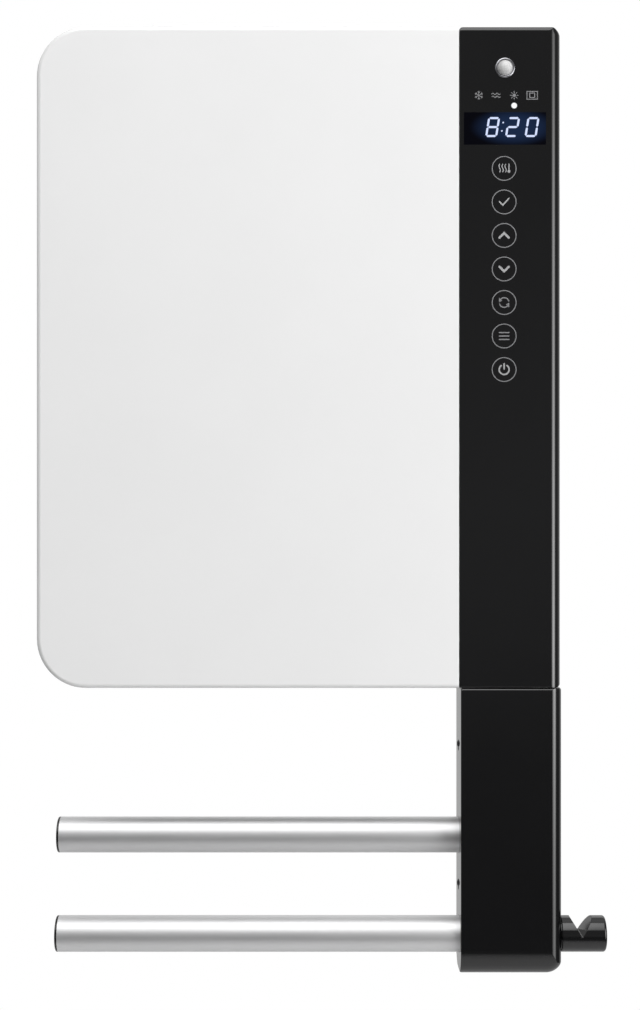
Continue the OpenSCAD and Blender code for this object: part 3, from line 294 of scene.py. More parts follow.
def rubberFinish(name, color):
    f = Finish(name)
    bloom = f.noise(70, 4, 0.6)
    f.bump(f.noise(1800, 2), 0.02 * mm)
    tone = f.blend(f.ramp(bloom, 0.4, 0.8), color, tuple(c * 1.8 + 0.01 for c in color))
    return f.shade(color=tone, rough=f.ramp(bloom, 0.3, 0.7, 0.62, 0.8))


finishTable = {
    # colour, roughness, depth of the orange peel, colour drift
    glossPlastic: {
        "whiteGloss": (tint(231, 231, 231), 0.16, 0.012, 0.012),
        "blackGloss": (tint(14, 14, 15), 0.07, 0.010, 0.15),
        "bluePlastic": (tint(34, 72, 150), 0.22, 0.02, 0.05),
    },
    # colour, roughness, depth of the grain
    satinPlastic: {
        "whiteSatin": (tint(231, 231, 230),),
        "filterWhite": (tint(246, 246, 246), 0.36, 0.02),
        "blackPlastic": (tint(24, 24, 25), 0.38, 0.02),
        "greyPlastic": (tint(96, 97, 100), 0.45),
        "creamPlastic": (tint(226, 218, 196), 0.4, 0.02),
    },
    # colour, roughness, depth of the lines, their stretch, spread of the roughness
    drawnMetal: {
        "satinAluminium": ((0.645, 0.645, 0.65), 0.49, 0.004),
        "castAluminium": ((0.72, 0.72, 0.73), 0.42, 0.02, (30, 30, 30)),
        "netSteel": ((0.5, 0.5, 0.52), 0.34, 0.002),
        "darkSteel": ((0.10, 0.10, 0.105), 0.34, 0.006, (60, 60, 4)),
        "brightSteel": ((0.72, 0.72, 0.74), 0.24, 0.006, (60, 60, 4)),
        "bezelChrome": ((0.32, 0.32, 0.34), 0.14, 0.003, (20, 1, 20), 0.04),
        "bronze": ((0.62, 0.42, 0.20), 0.36, 0.01, (60, 1, 60)),
    },
    zincSheet: {"zincSteel": ((0.66, 0.67, 0.69),)},
    laminated: {"laminationSteel": ((0.42, 0.42, 0.43),)},
    windingFinish: {"winding": ((0.78, 0.36, 0.13),)},
    circuitBoard: {"circuitBoard": ((0.012, 0.085, 0.035),)},
    rubberFinish: {"rubberBlack": (tint(22, 22, 22),)},
}
finishes = {name: maker(name, *values) for maker, rows in finishTable.items()
            for name, values in rows.items()}
print("finishes:", len(finishes))


# mesh making: rounded outlines, shells, turned parts and cuts

leastCorner = 0.12


def edgeInset(radius, depth):
    # how far a rounded edge stands in, at a depth behind its face; an oval one has two radii
    deep, high = radius if isinstance(radius, tuple) else (radius, radius)
    if depth >= deep:
        return 0.0
    return high * (1 - sqrt(max(1 - (1 - depth / deep) ** 2, 0)))


def thinner(radius, wall):
    # the rounding of a wall's inner side
    if isinstance(radius, tuple):
        return tuple(max(r - wall, 0.01) for r in radius)
    return max(radius - wall, 0.0)


def cornerOutline(box, corners, insets, steps=14):
    # outline in X and Z, from the lower left corner round to the right
    x0, z0, x1, z1 = box
    left, bottom, right, top = insets
    points = []
    for k, corner in enumerate(corners):
        x, insetX, sx = (x1, right, -1) if k in (1, 2) else (x0, left, 1)
        z, insetZ, sz = (z1, top, -1) if k > 1 else (z0, bottom, 1)
        x, z = x + sx * insetX, z + sz * insetZ
        rx, rz = max(corner - insetX, leastCorner), max(corner - insetZ, leastCorner)
        for i in range(steps + 1):
            a = radians((180 + 90 * k) % 360 + 90 * i / steps)
            points.append((x + sx * rx + rx * cos(a), z + sz * rz + rz * sin(a)))
    return points


def shellLoops(spec):
    # a hollow shell's loops in order: inner face, inner wall, open rim, outer wall, rounded front
    x0, z0, x1, z1 = spec["box"]
    wall, face, way, deep, lip = (spec[key] for key in ("wall", "face", "way", "depth", "lip"))
    edges = spec["edges"]  # left, bottom, right, top
    innerEdges = [thinner(r, wall) for r in edges]
    innerCorners = [max(c - wall, 0.0) for c in spec["corners"]]
    innerBox = (x0 + wall, z0 + wall, x1 - wall, z1 - wall)

    def levels(radii, count, end):
        found = {0.0}
        for r in radii:
            deepest = r[0] if isinstance(r, tuple) else r
            for i in range(1, count + 1):
                found.add(round(deepest * (1 - cos(pi / 2 * i / count)), 5))
        return [d for d in sorted(found) if d < end - 0.01]

    loops = []
    for d in levels(innerEdges, 5, deep - wall) + [deep - wall]:
        rim = cornerOutline(innerBox, innerCorners, [edgeInset(r, d) for r in innerEdges])
        loops.append([(x, face + way * (d + wall), z) for x, z in rim])
    outer = levels(edges, 9, deep - lip)[::-1]
    for d, extra in [(deep, lip), (deep - lip, 0.0)] + [(d, 0.0) for d in outer]:
        rim = cornerOutline(spec["box"], spec["corners"], [edgeInset(r, d) + extra for r in edges])
        loops.append([(x, face + way * d, z) for x, z in rim])
    return loops


def plain(shape):
    mesh = bpy.data.meshes.new("made")
    shape.to_mesh(mesh)
    shape.free()
    return mesh


def meshFromLoops(loops, closed=False):
    # joins loops of the same count in a row and closes both ends, or joins the last to the first
    shape = bmesh.new()
    rings = [[shape.verts.new(metres(p)) for p in loop] for loop in loops]
    for one, two in zip(rings, rings[1:] + rings[:closed]):
        for i in range(len(one)):
            j = (i + 1) % len(one)
            shape.faces.new((one[i], one[j], two[j], two[i]))
    if not closed:
        shape.faces.new(rings[0])
        shape.faces.new(rings[-1])
    bmesh.ops.remove_doubles(shape, verts=shape.verts, dist=0.004 * mm)
    bmesh.ops.dissolve_degenerate(shape, dist=0.001 * mm, edges=shape.edges)
    bmesh.ops.recalc_face_normals(shape, faces=shape.faces)
    return plain(shape)


def turned(profile, centre, axis, steps=96, closed=False):
    # a profile of radius and distance along the axis, turned into a closed round or a ring
    order = {"X": (2, 0, 1), "Y": (0, 2, 1), "Z": (0, 1, 2)}[axis]
    bearings = [2 * pi * i / steps for i in range(steps)]
    loops = [[[c + (radius * cos(a), radius * sin(a), distance)[k] for c, k in zip(centre, order)]
              for a in bearings] for radius, distance in profile]
    return meshFromLoops(loops, closed)


def prism(outline, y0, y1):
    # an outline in X and Z, from one depth to another
    return meshFromLoops([[(x, y, z) for x, z in outline] for y in (y0, y1)])


def blockMesh(low, high):
    (x0, y0, z0), (x1, y1, z1) = low, high
    return prism([(x0, z0), (x1, z0), (x1, z1), (x0, z1)], y0, y1)


def joined(meshes):
    shape = bmesh.new()
    for mesh in meshes:
        shape.from_mesh(mesh)
        bpy.data.meshes.remove(mesh)
    return plain(shape)


def dress(mesh, finish):
    mesh.materials.clear()
    mesh.materials.append(finishes.get(finish, finish))


def piece(name, mesh, finish, slot, nodes=(), body="heater", bevel=0.0, sharp=32):
    # puts a mesh in the scene, on its body and over the CAD nodes that it stands for
    mesh.name = name
    thing = linked(name, mesh)
    dress(mesh, finish)
    mesh.shade_smooth()
    mesh.set_sharp_from_angle(angle=radians(sharp))
    if bevel:
        edge = thing.modifiers.new("edges", "BEVEL")
        edge.width, edge.segments, edge.limit_method = bevel * mm, 3, "ANGLE"
        edge.angle_limit, edge.harden_normals = radians(sharp), True
    thing.modifiers.new("normals", "WEIGHTED_NORMAL").keep_sharp = True
    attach(thing, body)
    if nodes:
        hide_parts(*nodes)
    print(name, len(mesh.polygons))


def standIn(node, mesh, finish, slot, **more):
    # a piece for one CAD node, named after it
    first, *rest = node.split("_")
    name = first + "".join(word.capitalize() for word in rest)
    piece(name, mesh, finish, slot, [node], **more)


def cutAway(mesh, *cutters):
    # takes closed cutters off a closed mesh
    for cutter in cutters:
        thing, tool = linked("cutting", mesh), linked("cutter", cutter)
        cut = thing.modifiers.new("cut", "BOOLEAN")
        cut.operation, cut.solver, cut.object = "DIFFERENCE", "EXACT", tool
        mesh = evaluated(thing, tool)
    return mesh


def nodeShape(node):
    # a copy of a CAD node's loose triangles, joined at their corners
    shape = bmesh.new()
    shape.from_mesh(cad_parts[node].data)
    bmesh.ops.remove_doubles(shape, verts=shape.verts, dist=0.002 * mm)
    return shape


def merged(node):
    # the node's triangles merged into clean faces
    shape = nodeShape(node)
    bmesh.ops.dissolve_limit(shape, angle_limit=radians(0.4), verts=shape.verts, edges=shape.edges)
    return plain(shape)


class Growth(Graph):
    # a Geometry Nodes tree: inputs set by identifier, and the result taken as a plain mesh
    prefixes = ("GeometryNode", "ShaderNode", "")
    kinds = {float: "Float", int: "Int", tuple: "Vector", bpy.types.Material: "Material",
             bpy.types.Object: "Object"}

    def __init__(self, finish, **values):
        super().__init__(bpy.data.node_groups.new("growth", "GeometryNodeTree"))
        self.values = {**values, "Finish": finishes.get(finish, finish)}
        kinds = {key: self.kinds[type(value)] for key, value in self.values.items()}
        kinds = {"Start": "Geometry", **kinds}
        face = self.tree.interface
        for key, kind in kinds.items():
            face.new_socket(name=key, in_out="INPUT", socket_type="NodeSocket" + kind)
        face.new_socket(name="Geometry", in_out="OUTPUT", socket_type="NodeSocketGeometry")
        entry = self.add("NodeGroupInput", out=None)
        self.inputs = {key: Wire(self, entry.outputs[key]) for key in kinds}

    def row(self, thing, count, first, step):
        # copies in a straight line
        line = self.add("MeshLine", {"Count": count, "Start Location": first, "Offset": step},
                        mode="OFFSET")
        return self.add("InstanceOnPoints", {"Points": line, "Instance": thing})

    def mesh(self, geometry, start=None):
        real = self.add("RealizeInstances", {0: geometry})
        done = self.add("SetMaterial", {"Geometry": real, "Material": self.inputs["Finish"]})
        self.add("NodeGroupOutput", {0: done}, None)
        holder = linked("growth", start or bpy.data.meshes.new("growth"))
        modifier = holder.modifiers.new("growth", "NODES")
        modifier.node_group = self.tree
        for item in self.tree.interface.items_tree:
            if item.in_out == "INPUT" and item.name in self.values:
                modifier[item.identifier] = self.values[item.name]
        return evaluated(holder)


def swept(finish, length, width, height, first, ring=False, turn=(0.0, 0.0, 0.0), soft=0.0,
          rounds=2, count=1, step=(0, 0, 0), resolution=96):
    # a row of bars along Y, or of rings whose radius is the length, with softened corners
    g = Growth(finish, Length=length * mm, Width=width * mm, Height=height * mm, Soft=soft * mm,
               Resolution=resolution, Turn=turn, Count=count, First=metres(first),
               Step=metres(step))
    w = g.inputs
    if ring:
        path = g.add("CurvePrimitiveCircle", {"Radius": w["Length"], "Resolution": w["Resolution"]})
    else:
        path = g.add("CurvePrimitiveLine", {"End": g.add("CombineXYZ", {1: w["Length"]})})
    section = g.add("CurvePrimitiveQuadrilateral", {"Width": w["Width"], "Height": w["Height"]})
    if soft:
        section = g.add("FilletCurve", {"Curve": section, "Radius": w["Soft"], "Count": rounds,
                                        "Limit Radius": True}, mode="POLY")
    bar = g.add("CurveToMesh", {"Curve": path, "Profile Curve": section, "Fill Caps": not ring})
    laid = g.add("Transform", {"Geometry": bar, "Rotation": w["Turn"]})
    return g.mesh(g.row(laid, w["Count"], w["First"], w["Step"]))


# the white front panel and the black control column beside it

front = -120.0
frontShell = {"wall": 2.5, "face": front, "way": 1, "depth": 22.0, "lip": 0.25}
panel = {"box": frontBox("front_panel"), "corners": (33, 0, 0, 33), "edges": (3.4, 3.0, 0.25, 2.9),
         **frontShell}
standIn("front_panel", meshFromLoops(shellLoops(panel)), "whiteGloss", "white_gloss")
print("done: front panel")

column = {"box": frontBox("control_fascia"), "corners": (0.5, 2, 5.5, 2.5),
          "edges": (0.8, 1.0, 8.1, 3.0), **frontShell}
padBox, padR, keyCount = span("touch_pads"), 7.0, 7
controls = {
    "keyX": middle("touch_pads")[0], "keyZ": padBox[5] - padR, "keys": keyCount,
    "pitch": (padBox[5] - padBox[2] - 2 * padR) / (keyCount - 1),
    "ringR": 7.95, "ringWidth": 0.6, "ringInk": 0.06,
    "dome": faceSpot("pir_bezel"), "domeR": 5.2, "bezelR": 6.7,
    "light": faceSpot("status_light_guide"), "lightR": 2.0,
    "window": frontBox("display_window"), "windowT": 1.4, "ledge": 2.0, "gap": 0.03,
}


def fasciaCutters(c):
    # the display's seat and opening, then the holes of the dome, its bezel and the status light
    x0, z0, x1, z1 = c["window"]
    gap, ledge = c["gap"], c["ledge"]
    yield blockMesh((x0 - gap, front - 1, z0 - gap), (x1 + gap, front + c["windowT"], z1 + gap))
    yield blockMesh((x0 + ledge, front + 0.5, z0 + ledge), (x1 - ledge, front + 4, z1 - ledge))
    for spot, size, deep in (("dome", "domeR", 9), ("dome", "bezelR", 1), ("light", "lightR", 9)):
        r = c[size] + gap
        yield turned([(r, front - 1), (r, front + deep)], c[spot], "Y")


fasciaMesh = cutAway(meshFromLoops(shellLoops(column)), *fasciaCutters(controls))
standIn("control_fascia", fasciaMesh, "blackGloss", "black_gloss")
print("done: control column")


# the tower under the column, in two shells

tower = {
    "box": frontBox("tower_front_shell"), "corners": (1.5, 9.5, 2, 1.5), "wall": 2.5, "lip": 0.18,
    "seam": -105.0, "front": {"face": front, "way": 1, "edges": (0.8, (14.8, 19.1), 8.8, 1.7)},
    "rear": {"face": -80.0, "way": -1, "edges": (3, 18, 3, 1.5)},
    "bars": (middle("towel_bar_upper")[1:], middle("towel_bar_lower")[1:]), "barHole": 12.3,
    "screws": (span("cover_screws")[2] + 3, span("cover_screws")[5] - 3),
    "screwY": middle("cover_screws")[1], "recess": 3.75,
}


def towerShell(t, side):
    # one shell with its bar holes; the rear one has the cover screws' recesses too
    spec = {**t, **t[side], "depth": abs(t[side]["face"] - t["seam"])}
    x0 = t["box"][0]
    holes = [(y, z, t["barHole"], 4, 96) for y, z in t["bars"]]
    if side == "rear":
        holes += [(t["screwY"], z, t["recess"], 1.5, 48) for z in t["screws"]]
    cutters = [turned([(r, x0 - 2), (r, x0 + deep)], (0, y, z), "X", steps)
               for y, z, r, deep, steps in holes]
    return cutAway(meshFromLoops(shellLoops(spec)), *cutters)


for side in ("front", "rear"):
    standIn(f"tower_{side}_shell", towerShell(tower, side), "blackGloss", "black_gloss")
print("done: tower")


# towel bars, their end caps and the robe hook

capX0, (tubeX0, _, _, tubeX1, _, _) = span("bar_end_caps")[0], span("towel_bar_upper")
bars = {"x0": capX0, "tubeX0": tubeX0, "x1": tubeX1, "cap": tubeX0 - capX0, "r": 12.0, "bore": 10.5,
        "soft": 0.2, "capRound": 0.8}


def capProfile(b):
    # a flat disc with a rounded rim, and its plug in the bore
    x0, r, e, plug, back = b["x0"], b["r"], b["capRound"], b["bore"] - 0.03, b["x0"] + b["cap"]
    rim = [(r - e + e * sin(a), x0 + e - e * cos(a)) for a in angles(7, 15)]
    return [(0, x0 + 0.12), (r * 0.5, x0 + 0.09), (r - e - 1.2, x0), *rim, (r, back - 0.15),
            (r - 0.15, back), (plug, back), (plug, back + 8), (0, back + 8)]


for side, (y, z) in zip(("upper", "lower"), tower["bars"]):
    tube = swept("satinAluminium", (bars["r"] + bars["bore"]) / 2, bars["r"] - bars["bore"],
                 bars["x1"] - bars["tubeX0"], ((bars["tubeX0"] + bars["x1"]) / 2, y, z), ring=True,
                 turn=(0.0, pi / 2, 0.0), soft=bars["soft"], rounds=3, resolution=128)
    standIn(f"towel_bar_{side}", tube, "satinAluminium", "satin_aluminium")

caps = joined([turned(capProfile(bars), (0, y, z), "X") for y, z in tower["bars"]])
standIn("bar_end_caps", caps, "blackGloss", "black_gloss")

hook = {"x0": tower["box"][2], "x1": span("robe_hook")[3], "r": 12.0, "root": 10.8, "spigot": 8.0,
        "spigotX": span("robe_hook")[0], "notchIn": 14.0, "notchRise": 0.3, "slant": 32.0,
        "flat": 0.2, "round": 1.8}


def hookMesh(h):
    # a round peg with a spigot, a shadow gap at its root and a V notch on top
    y, z = tower["bars"][1]
    x0, x1, r, e, flat = h["x0"], h["x1"], h["r"], h["round"], h["flat"]
    ends = [(r - e + e * cos(a), x1 - e + e * sin(a)) for a in angles(9, 11.25)]
    profile = [(0, h["spigotX"]), (h["spigot"], h["spigotX"]), (h["spigot"], x0), (h["root"], x0),
               (h["root"], x0 + 0.6), (r - 0.5, x0 + 0.6), (r - 0.15, x0 + 0.75), (r, x0 + 1.1),
               *ends, (0, x1)]
    peg = turned(profile, (0, y, z), "X", 128)
    low, high, notchX = z + h["notchRise"], z + r + 3, x0 + h["notchIn"]
    spread = flat + (high - low) * tan(radians(h["slant"]))
    notch = [(notchX - flat, low), (notchX + flat, low), (notchX + spread, high),
             (notchX - spread, high)]
    return cutAway(peg, prism(notch, y - r - 2, y + r + 2))


standIn("robe_hook", hookMesh(hook), "blackGloss", "black_gloss", bevel=0.4)
print("done: bars and hook")


# sensor dome and its bezel

def domeMesh(c):
    r, base = c["domeR"], front + 1
    cap = [(r * sin(a), base - r * cos(a)) for a in angles(19, 5)[1:]]
    return turned([(0, base - r), *cap, (r, base + 4), (0, base + 4)], c["dome"], "Y")


def bezelMesh(c):
    inner, outer, base = c["domeR"] + c["gap"], c["bezelR"], front + 1
    mid, half = (inner + outer) / 2, (outer - inner) / 2
    crest = [(mid + half * cos(a), front - 0.6 * sin(a)) for a in angles(11, 18)]
    return turned([(outer, base), *crest, (inner, base)], c["dome"], "Y", closed=True)


def milkyFinish(name):
    # frosted lens dome with its moulded cells
    f = Finish(name)
    edge = f.ramp(f.cells(620, 0.25, feature="DISTANCE_TO_EDGE"), 0.0, 0.12)
    f.bump(edge, 0.03 * mm)
    # painted shade: the colour is darker along the cells' sunken edges
    return f.shade(color=f.blend(edge, (0.50, 0.50, 0.50), (0.60, 0.60, 0.60)),
                   rough=f.ramp(f.noise(300, 2), 0.3, 0.7, 0.42, 0.52))


standIn("pir_dome", domeMesh(controls), milkyFinish("milkyDome"), "dome_plastic")
standIn("pir_bezel", bezelMesh(controls), "bezelChrome", "bezel_chrome")


# printed marks: thin strokes on the gloss face

def printedFinish(name, color, glow=None):
    # screen print with an uneven ink film
    f = Finish(name)
    ink = f.noise(1500, 3, 0.6)
    f.bump(ink, 0.004 * mm)
    extra = {"glow": f.drift(ink, glow, 0.92), "glowStrength": 1.0} if glow else {}
    return f.shade(color=f.drift(ink, color, 0.88), rough=f.ramp(ink, 0.2, 0.8, 0.36, 0.5), **extra)


brightInk = printedFinish("brightInk", tint(162, 162, 163))
greyInk = printedFinish("greyInk", tint(126, 126, 128))
litDigits = printedFinish("litDigits", (0.05, 0.06, 0.1), (0.64, 0.72, 0.95))
inkUnder = front + 0.01  # printed forms reach this far into the face


def strokeMesh(lines, thick=0.04):
    # ribbons with round ends, or rings where a line ends at its start; each is its points and its
    # width, and they differ a hair in height so that no two faces lie in one plane
    meshes = []
    for k, (points, width) in enumerate(lines):
        w, top = width / 2, front - thick - 0.003 * (k % 5)
        ring = points[0] == points[-1]
        path = [Vector(p) for p in (points[:-1] if ring else points)]
        ways = [(two - one).normalized() for one, two in zip(path, path[1:] + path[:ring])]
        sides = []
        for i in range(len(path)):
            before, after = ways[i - 1 if i or ring else 0], ways[min(i, len(ways) - 1)]
            n = (before + after).orthogonal().normalized()
            sides.append(n * (w / max(n.dot(before.orthogonal()), 0.4)))
        left = [at + n for at, n in zip(path, sides)]
        right = [at - n for at, n in zip(path, sides)]
        if ring:
            loops = [[(p.x, y, p.y) for p in row]
                     for row, y in ((left, inkUnder), (left, top), (right, top), (right, inkUnder))]
            meshes.append(meshFromLoops(loops, closed=True))
            continue
        outline = []
        for row, end, near in ((left, path[-1], path[-2]), (right[::-1], path[0], path[1])):
            d = (end - near).normalized()
            outline += row
            outline += [end + w * (d * cos(a) + d.orthogonal() * sin(a))
                        for a in (radians(90 - 30 * step) for step in range(1, 6))]
        meshes.append(prism(outline, inkUnder, top))
    return joined(meshes)


def dot(x, z, r):
    return [(x - 0.01, z), (x + 0.01, z)], 2 * r


def arc(x, z, r, start, end, count=24):
    return [(x + r * cos(radians(start + (end - start) * i / count)),
             z + r * sin(radians(start + (end - start) * i / count))) for i in range(count + 1)]


def keySymbols(c):
    # heat waves, tick, up, down and power; cycle and list, in a dimmer print
    x = c["keyX"]
    zs = [c["keyZ"] - i * c["pitch"] for i in range(c["keys"])]

    def at(key, *offsets):
        return [(x + dx, zs[key] + dz) for dx, dz in offsets]

    lines = [(at(0, *((k + 0.45 * sin(pi * i / 8), 5.2 * i / 16 - 2.4) for i in range(17))), 0.6)
             for k in (-3.0, -1.0, 1.0)]
    lines += [(at(0, (3.2, -1.2), (3.2, 2.8)), 0.75), dot(x + 3.2, zs[0] - 1.9, 0.95),
              (at(1, (-3.1, 0.1), (-0.9, -2.1), (3.1, 2.3)), 0.95),
              (at(2, (-3.1, -1.5), (0, 1.6), (3.1, -1.5)), 1.45),
              (at(3, (-3.1, 1.5), (0, -1.6), (3.1, 1.5)), 1.45),
              (arc(x, zs[6], 3.3, 125, 415, 36), 1.0), (at(6, (0, 0.4), (0, 3.8)), 1.0)]
    dim = []
    for start in (20, 200):
        dim.append((arc(x, zs[4], 3.2, start, start + 130), 0.75))
        tip = arc(x, zs[4], 3.2, start + 130, start + 150, 1)[1]
        for r in (2.15, 4.2):
            dim.append(([arc(x, zs[4], r, start + 118, start + 119, 1)[0], tip], 0.6))
    dim += [(at(5, (-3.2, d), (3.2, d)), 0.8) for d in (-2.3, 0, 2.3)]
    return lines, dim


def statusIcons(c):
    # frost, air, sun and window, in a row over the display
    x, _, z = c["light"]
    z += 6.8
    lines = []

    def ray(cx, cz, angle, start, end, width):
        lines.append(([(cx + r * cos(angle), cz + r * sin(angle)) for r in (start, end)], width))

    frostX, airX, windowX = x - 23.6, x - 14.9, x + 12
    for a in (radians(30 + 60 * k) for k in range(6)):
        ray(frostX, z, a, 0, 2.8, 0.42)
        for s in (-1, 1):
            ray(frostX + 1.6 * cos(a), z + 1.6 * sin(a), a + s * radians(42), 0, 1.05, 0.36)
    for d in (-0.95, 0.95):
        lines.append(([(airX + 5.6 * t, z + d + 0.5 * sin(t * 4 * pi))
                       for t in (i / 20 for i in range(21))], 0.5))
    lines.append(dot(x, z, 1.15))
    for a in angles(8, 45):
        ray(x, z, a, 1.75, 2.65, 0.46)
    for halfW, halfH, width in ((3.5, 2.6, 0.55), (1.6, 1.5, 0.6)):
        x0, x1, z0, z1 = windowX - halfW, windowX + halfW, z - halfH, z + halfH
        lines.append(([(x0, z0), (x1, z0), (x1, z1), (x0, z1), (x0, z0)], width))
    return lines


mainMarks, dimMarks = keySymbols(controls)
piece("keySymbols", strokeMesh(mainMarks), brightInk, "light_clear")
piece("keySymbolsDim", strokeMesh(dimMarks), greyInk, "light_clear")
piece("statusIcons", strokeMesh(statusIcons(controls)), greyInk, "light_clear")

keyRings = swept(greyInk, controls["ringR"], controls["ringWidth"], controls["ringInk"],
                 (controls["keyX"], front - 0.01, controls["keyZ"]), ring=True,
                 turn=(pi / 2, 0.0, 0.0), count=controls["keys"], step=(0, 0, -controls["pitch"]))
piece("keyRings", keyRings, greyInk, "light_clear")


# the display: a smoked lens, three digits of lit segments and a colon

windowMid = middle("display_window")
digits = {
    "height": 13.3, "width": 8.0, "stroke": 1.35, "gap": 0.2, "lean": 9.0, "z": windowMid[2] + 0.85,
    "places": ((-8.2, "abcdefg"), (5.05, "abged"), (18.05, "abcdef")), "colon": -1.65,
    "colonR": 0.55, "x": windowMid[0], "glowX": windowMid[0] + 5.8, "glowW": 19.0, "glowH": 8.5,
}


def digitMesh(d):
    gap, half, lean = d["gap"], d["stroke"] / 2, tan(radians(d["lean"]))
    w, h = (d["width"] - d["stroke"]) / 2, (d["height"] - d["stroke"]) / 2
    lt, rt, lm, rm, lb, rb = (Vector((sx * w, sz * h)) for sz in (1, 0, -1) for sx in (-1, 1))
    ends = {"a": (lt, rt), "b": (rt, rm), "c": (rm, rb), "d": (lb, rb), "e": (lm, lb),
            "f": (lt, lm), "g": (lm, rm)}
    outlines = []
    for shift, lit in d["places"]:
        centre = Vector((d["x"] + shift, d["z"]))
        for key in lit:
            start, end = ends[key]
            u = (end - start).normalized()
            a, b, n = centre + start + u * gap, centre + end - u * gap, u.orthogonal() * half
            near, far = a + u * half, b - u * half
            outlines.append([a, near + n, far + n, b, far - n, near - n])
    for rise in (-2.6, 3.0):
        x, z, r = d["x"] + d["colon"], d["z"] + rise, d["colonR"]
        outlines.append([(x + r * cos(a), z + r * sin(a)) for a in angles(12, 30)])
    return joined([prism([(x + lean * (z - d["z"]), z) for x, z in outline], inkUnder, front - 0.05)
                   for outline in outlines])


def across(f, x, z, halfW, halfH):
    # squared distance from a centre in X and Z, in half widths and half heights
    placeX, _, placeZ = f.apart(f.place)
    u, v = (placeX - x * mm) / (halfW * mm), (placeZ - z * mm) / (halfH * mm)
    return u * u + v * v


def windowFinish(name, d):
    # smoked display lens, with a painted glow in its own emission for the display's blue haze
    # behind it
    f = Finish(name)
    near = f.ramp(across(f, d["glowX"], d["z"], d["glowW"], d["glowH"]), 2.6, 0.0)
    return f.shade(color=(0.001, 0.001, 0.002), rough=f.ramp(f.noise(60), 0.3, 0.7, 0.05, 0.09),
                   glow=f.blend(near, (0.0004, 0.0004, 0.0012), (0.009, 0.021, 0.058)),
                   specular=0.08, glowStrength=1.0)


x0, z0, x1, z1 = controls["window"]
lens = blockMesh((x0, front, z0), (x1, front + controls["windowT"], z1))
standIn("display_window", lens, windowFinish("smokedLens", digits), "display_lens", bevel=0.12)
piece("displayDigits", digitMesh(digits), litDigits, "light_clear")


# the status light

def litDot(name, c):
    # a light pipe's end: brightest in the middle
    f = Finish(name)
    x, _, z = c["light"]
    near = f.ramp(across(f, x, z, c["lightR"], c["lightR"]), 1.0, 0.3)
    return f.shade(color=(0.2, 0.2, 0.2), rough=f.ramp(f.noise(900, 2), 0.3, 0.7, 0.2, 0.3),
                   glow=f.blend(near, (0.30, 0.32, 0.35), (1.0, 1.0, 1.0)), glowStrength=1.0)


def lightMesh(c):
    r = c["lightR"]
    profile = [(0, -0.02), (r * 0.6, 0.0), (r - 0.15, 0.04), (r, 0.2), (r, 8.0), (0, 8.0)]
    return turned([(radius, front + deep) for radius, deep in profile], c["light"], "Y", 64)


piece("statusLight", lightMesh(controls), litDot("litWhite", controls), "light_clear",
      ["status_light_guide"])
print("done: controls")


# the lift-out filter: a ring with its ledge, bars, a pull rim and a woven net

filterSpan, netSpan = span("filter_cassette"), span("filter_mesh")
cassette = {
    "top": filterSpan[5] - 15.5, "flange": 2.0, "lip": 3.0, "wall": 1.6, "ledge": 2.0,
    "ledgeT": 1.2, "deep": 18.0, "pitch": 9.3, "barW": 1.8, "barH": 6.0, "rimT": 2.5,
    "rimCorner": 3.0, "soft": 0.5, "corner": 2.5,
}
net = {"pitch": 2.6, "wire": 0.2, "wave": 0.22}


def ringAround(box, corner, profile):
    # a section of inset and height, carried round a rounded rectangle in X and Y
    return meshFromLoops([[(x, y, z) for x, y in cornerOutline(box, [corner] * 4, [inset] * 4, 6)]
                          for inset, z in profile], closed=True)


def plateAcross(box, corners, y0, y1, soft):
    # an upright plate with softened edges
    levels = ((soft, y0), (soft * 0.3, y0 + soft * 0.3), (0, y0 + soft), (0, y1 - soft),
              (soft * 0.3, y1 - soft * 0.3), (soft, y1))
    return meshFromLoops([[(x, y, z) for x, z in cornerOutline(box, corners, [inset] * 4, 8)]
                          for inset, y in levels])


def filterMesh(c):
    x0, y0, _, x1, y1, _ = filterSpan
    top, e, lip, inner = c["top"], c["soft"], c["lip"], c["lip"] + c["wall"]
    low, crest, shelf = top - c["deep"], top + c["flange"], inner + c["ledge"]
    body = ringAround((x0, y0, x1, y1), c["corner"], [
        (e, top), (0, top + e), (0, crest - e), (e * 0.3, crest - e * 0.3), (e, crest),
        (inner - e, crest), (inner, crest - e), (inner, low + c["ledgeT"]),
        (shelf, low + c["ledgeT"]), (shelf, low), (lip, low), (lip, top)])
    inX0, inX1, inY0, inY1 = x0 + lip, x1 - lip, y0 + lip, y1 - lip
    slats = swept("filterWhite", inY1 - inY0 - 1, c["barW"], c["barH"],
                  (inX0 + c["pitch"], inY0 + 0.5, top - 1.0), soft=0.6,
                  count=int((inX1 - 3 - inX0) / c["pitch"]), step=(c["pitch"], 0, 0))
    rim = plateAcross((x0, top + 1, x1, filterSpan[5]), (0.6, 0.6, c["rimCorner"], c["rimCorner"]),
                      y0, y0 + c["rimT"], 0.6)
    return joined([body, slats, rim])


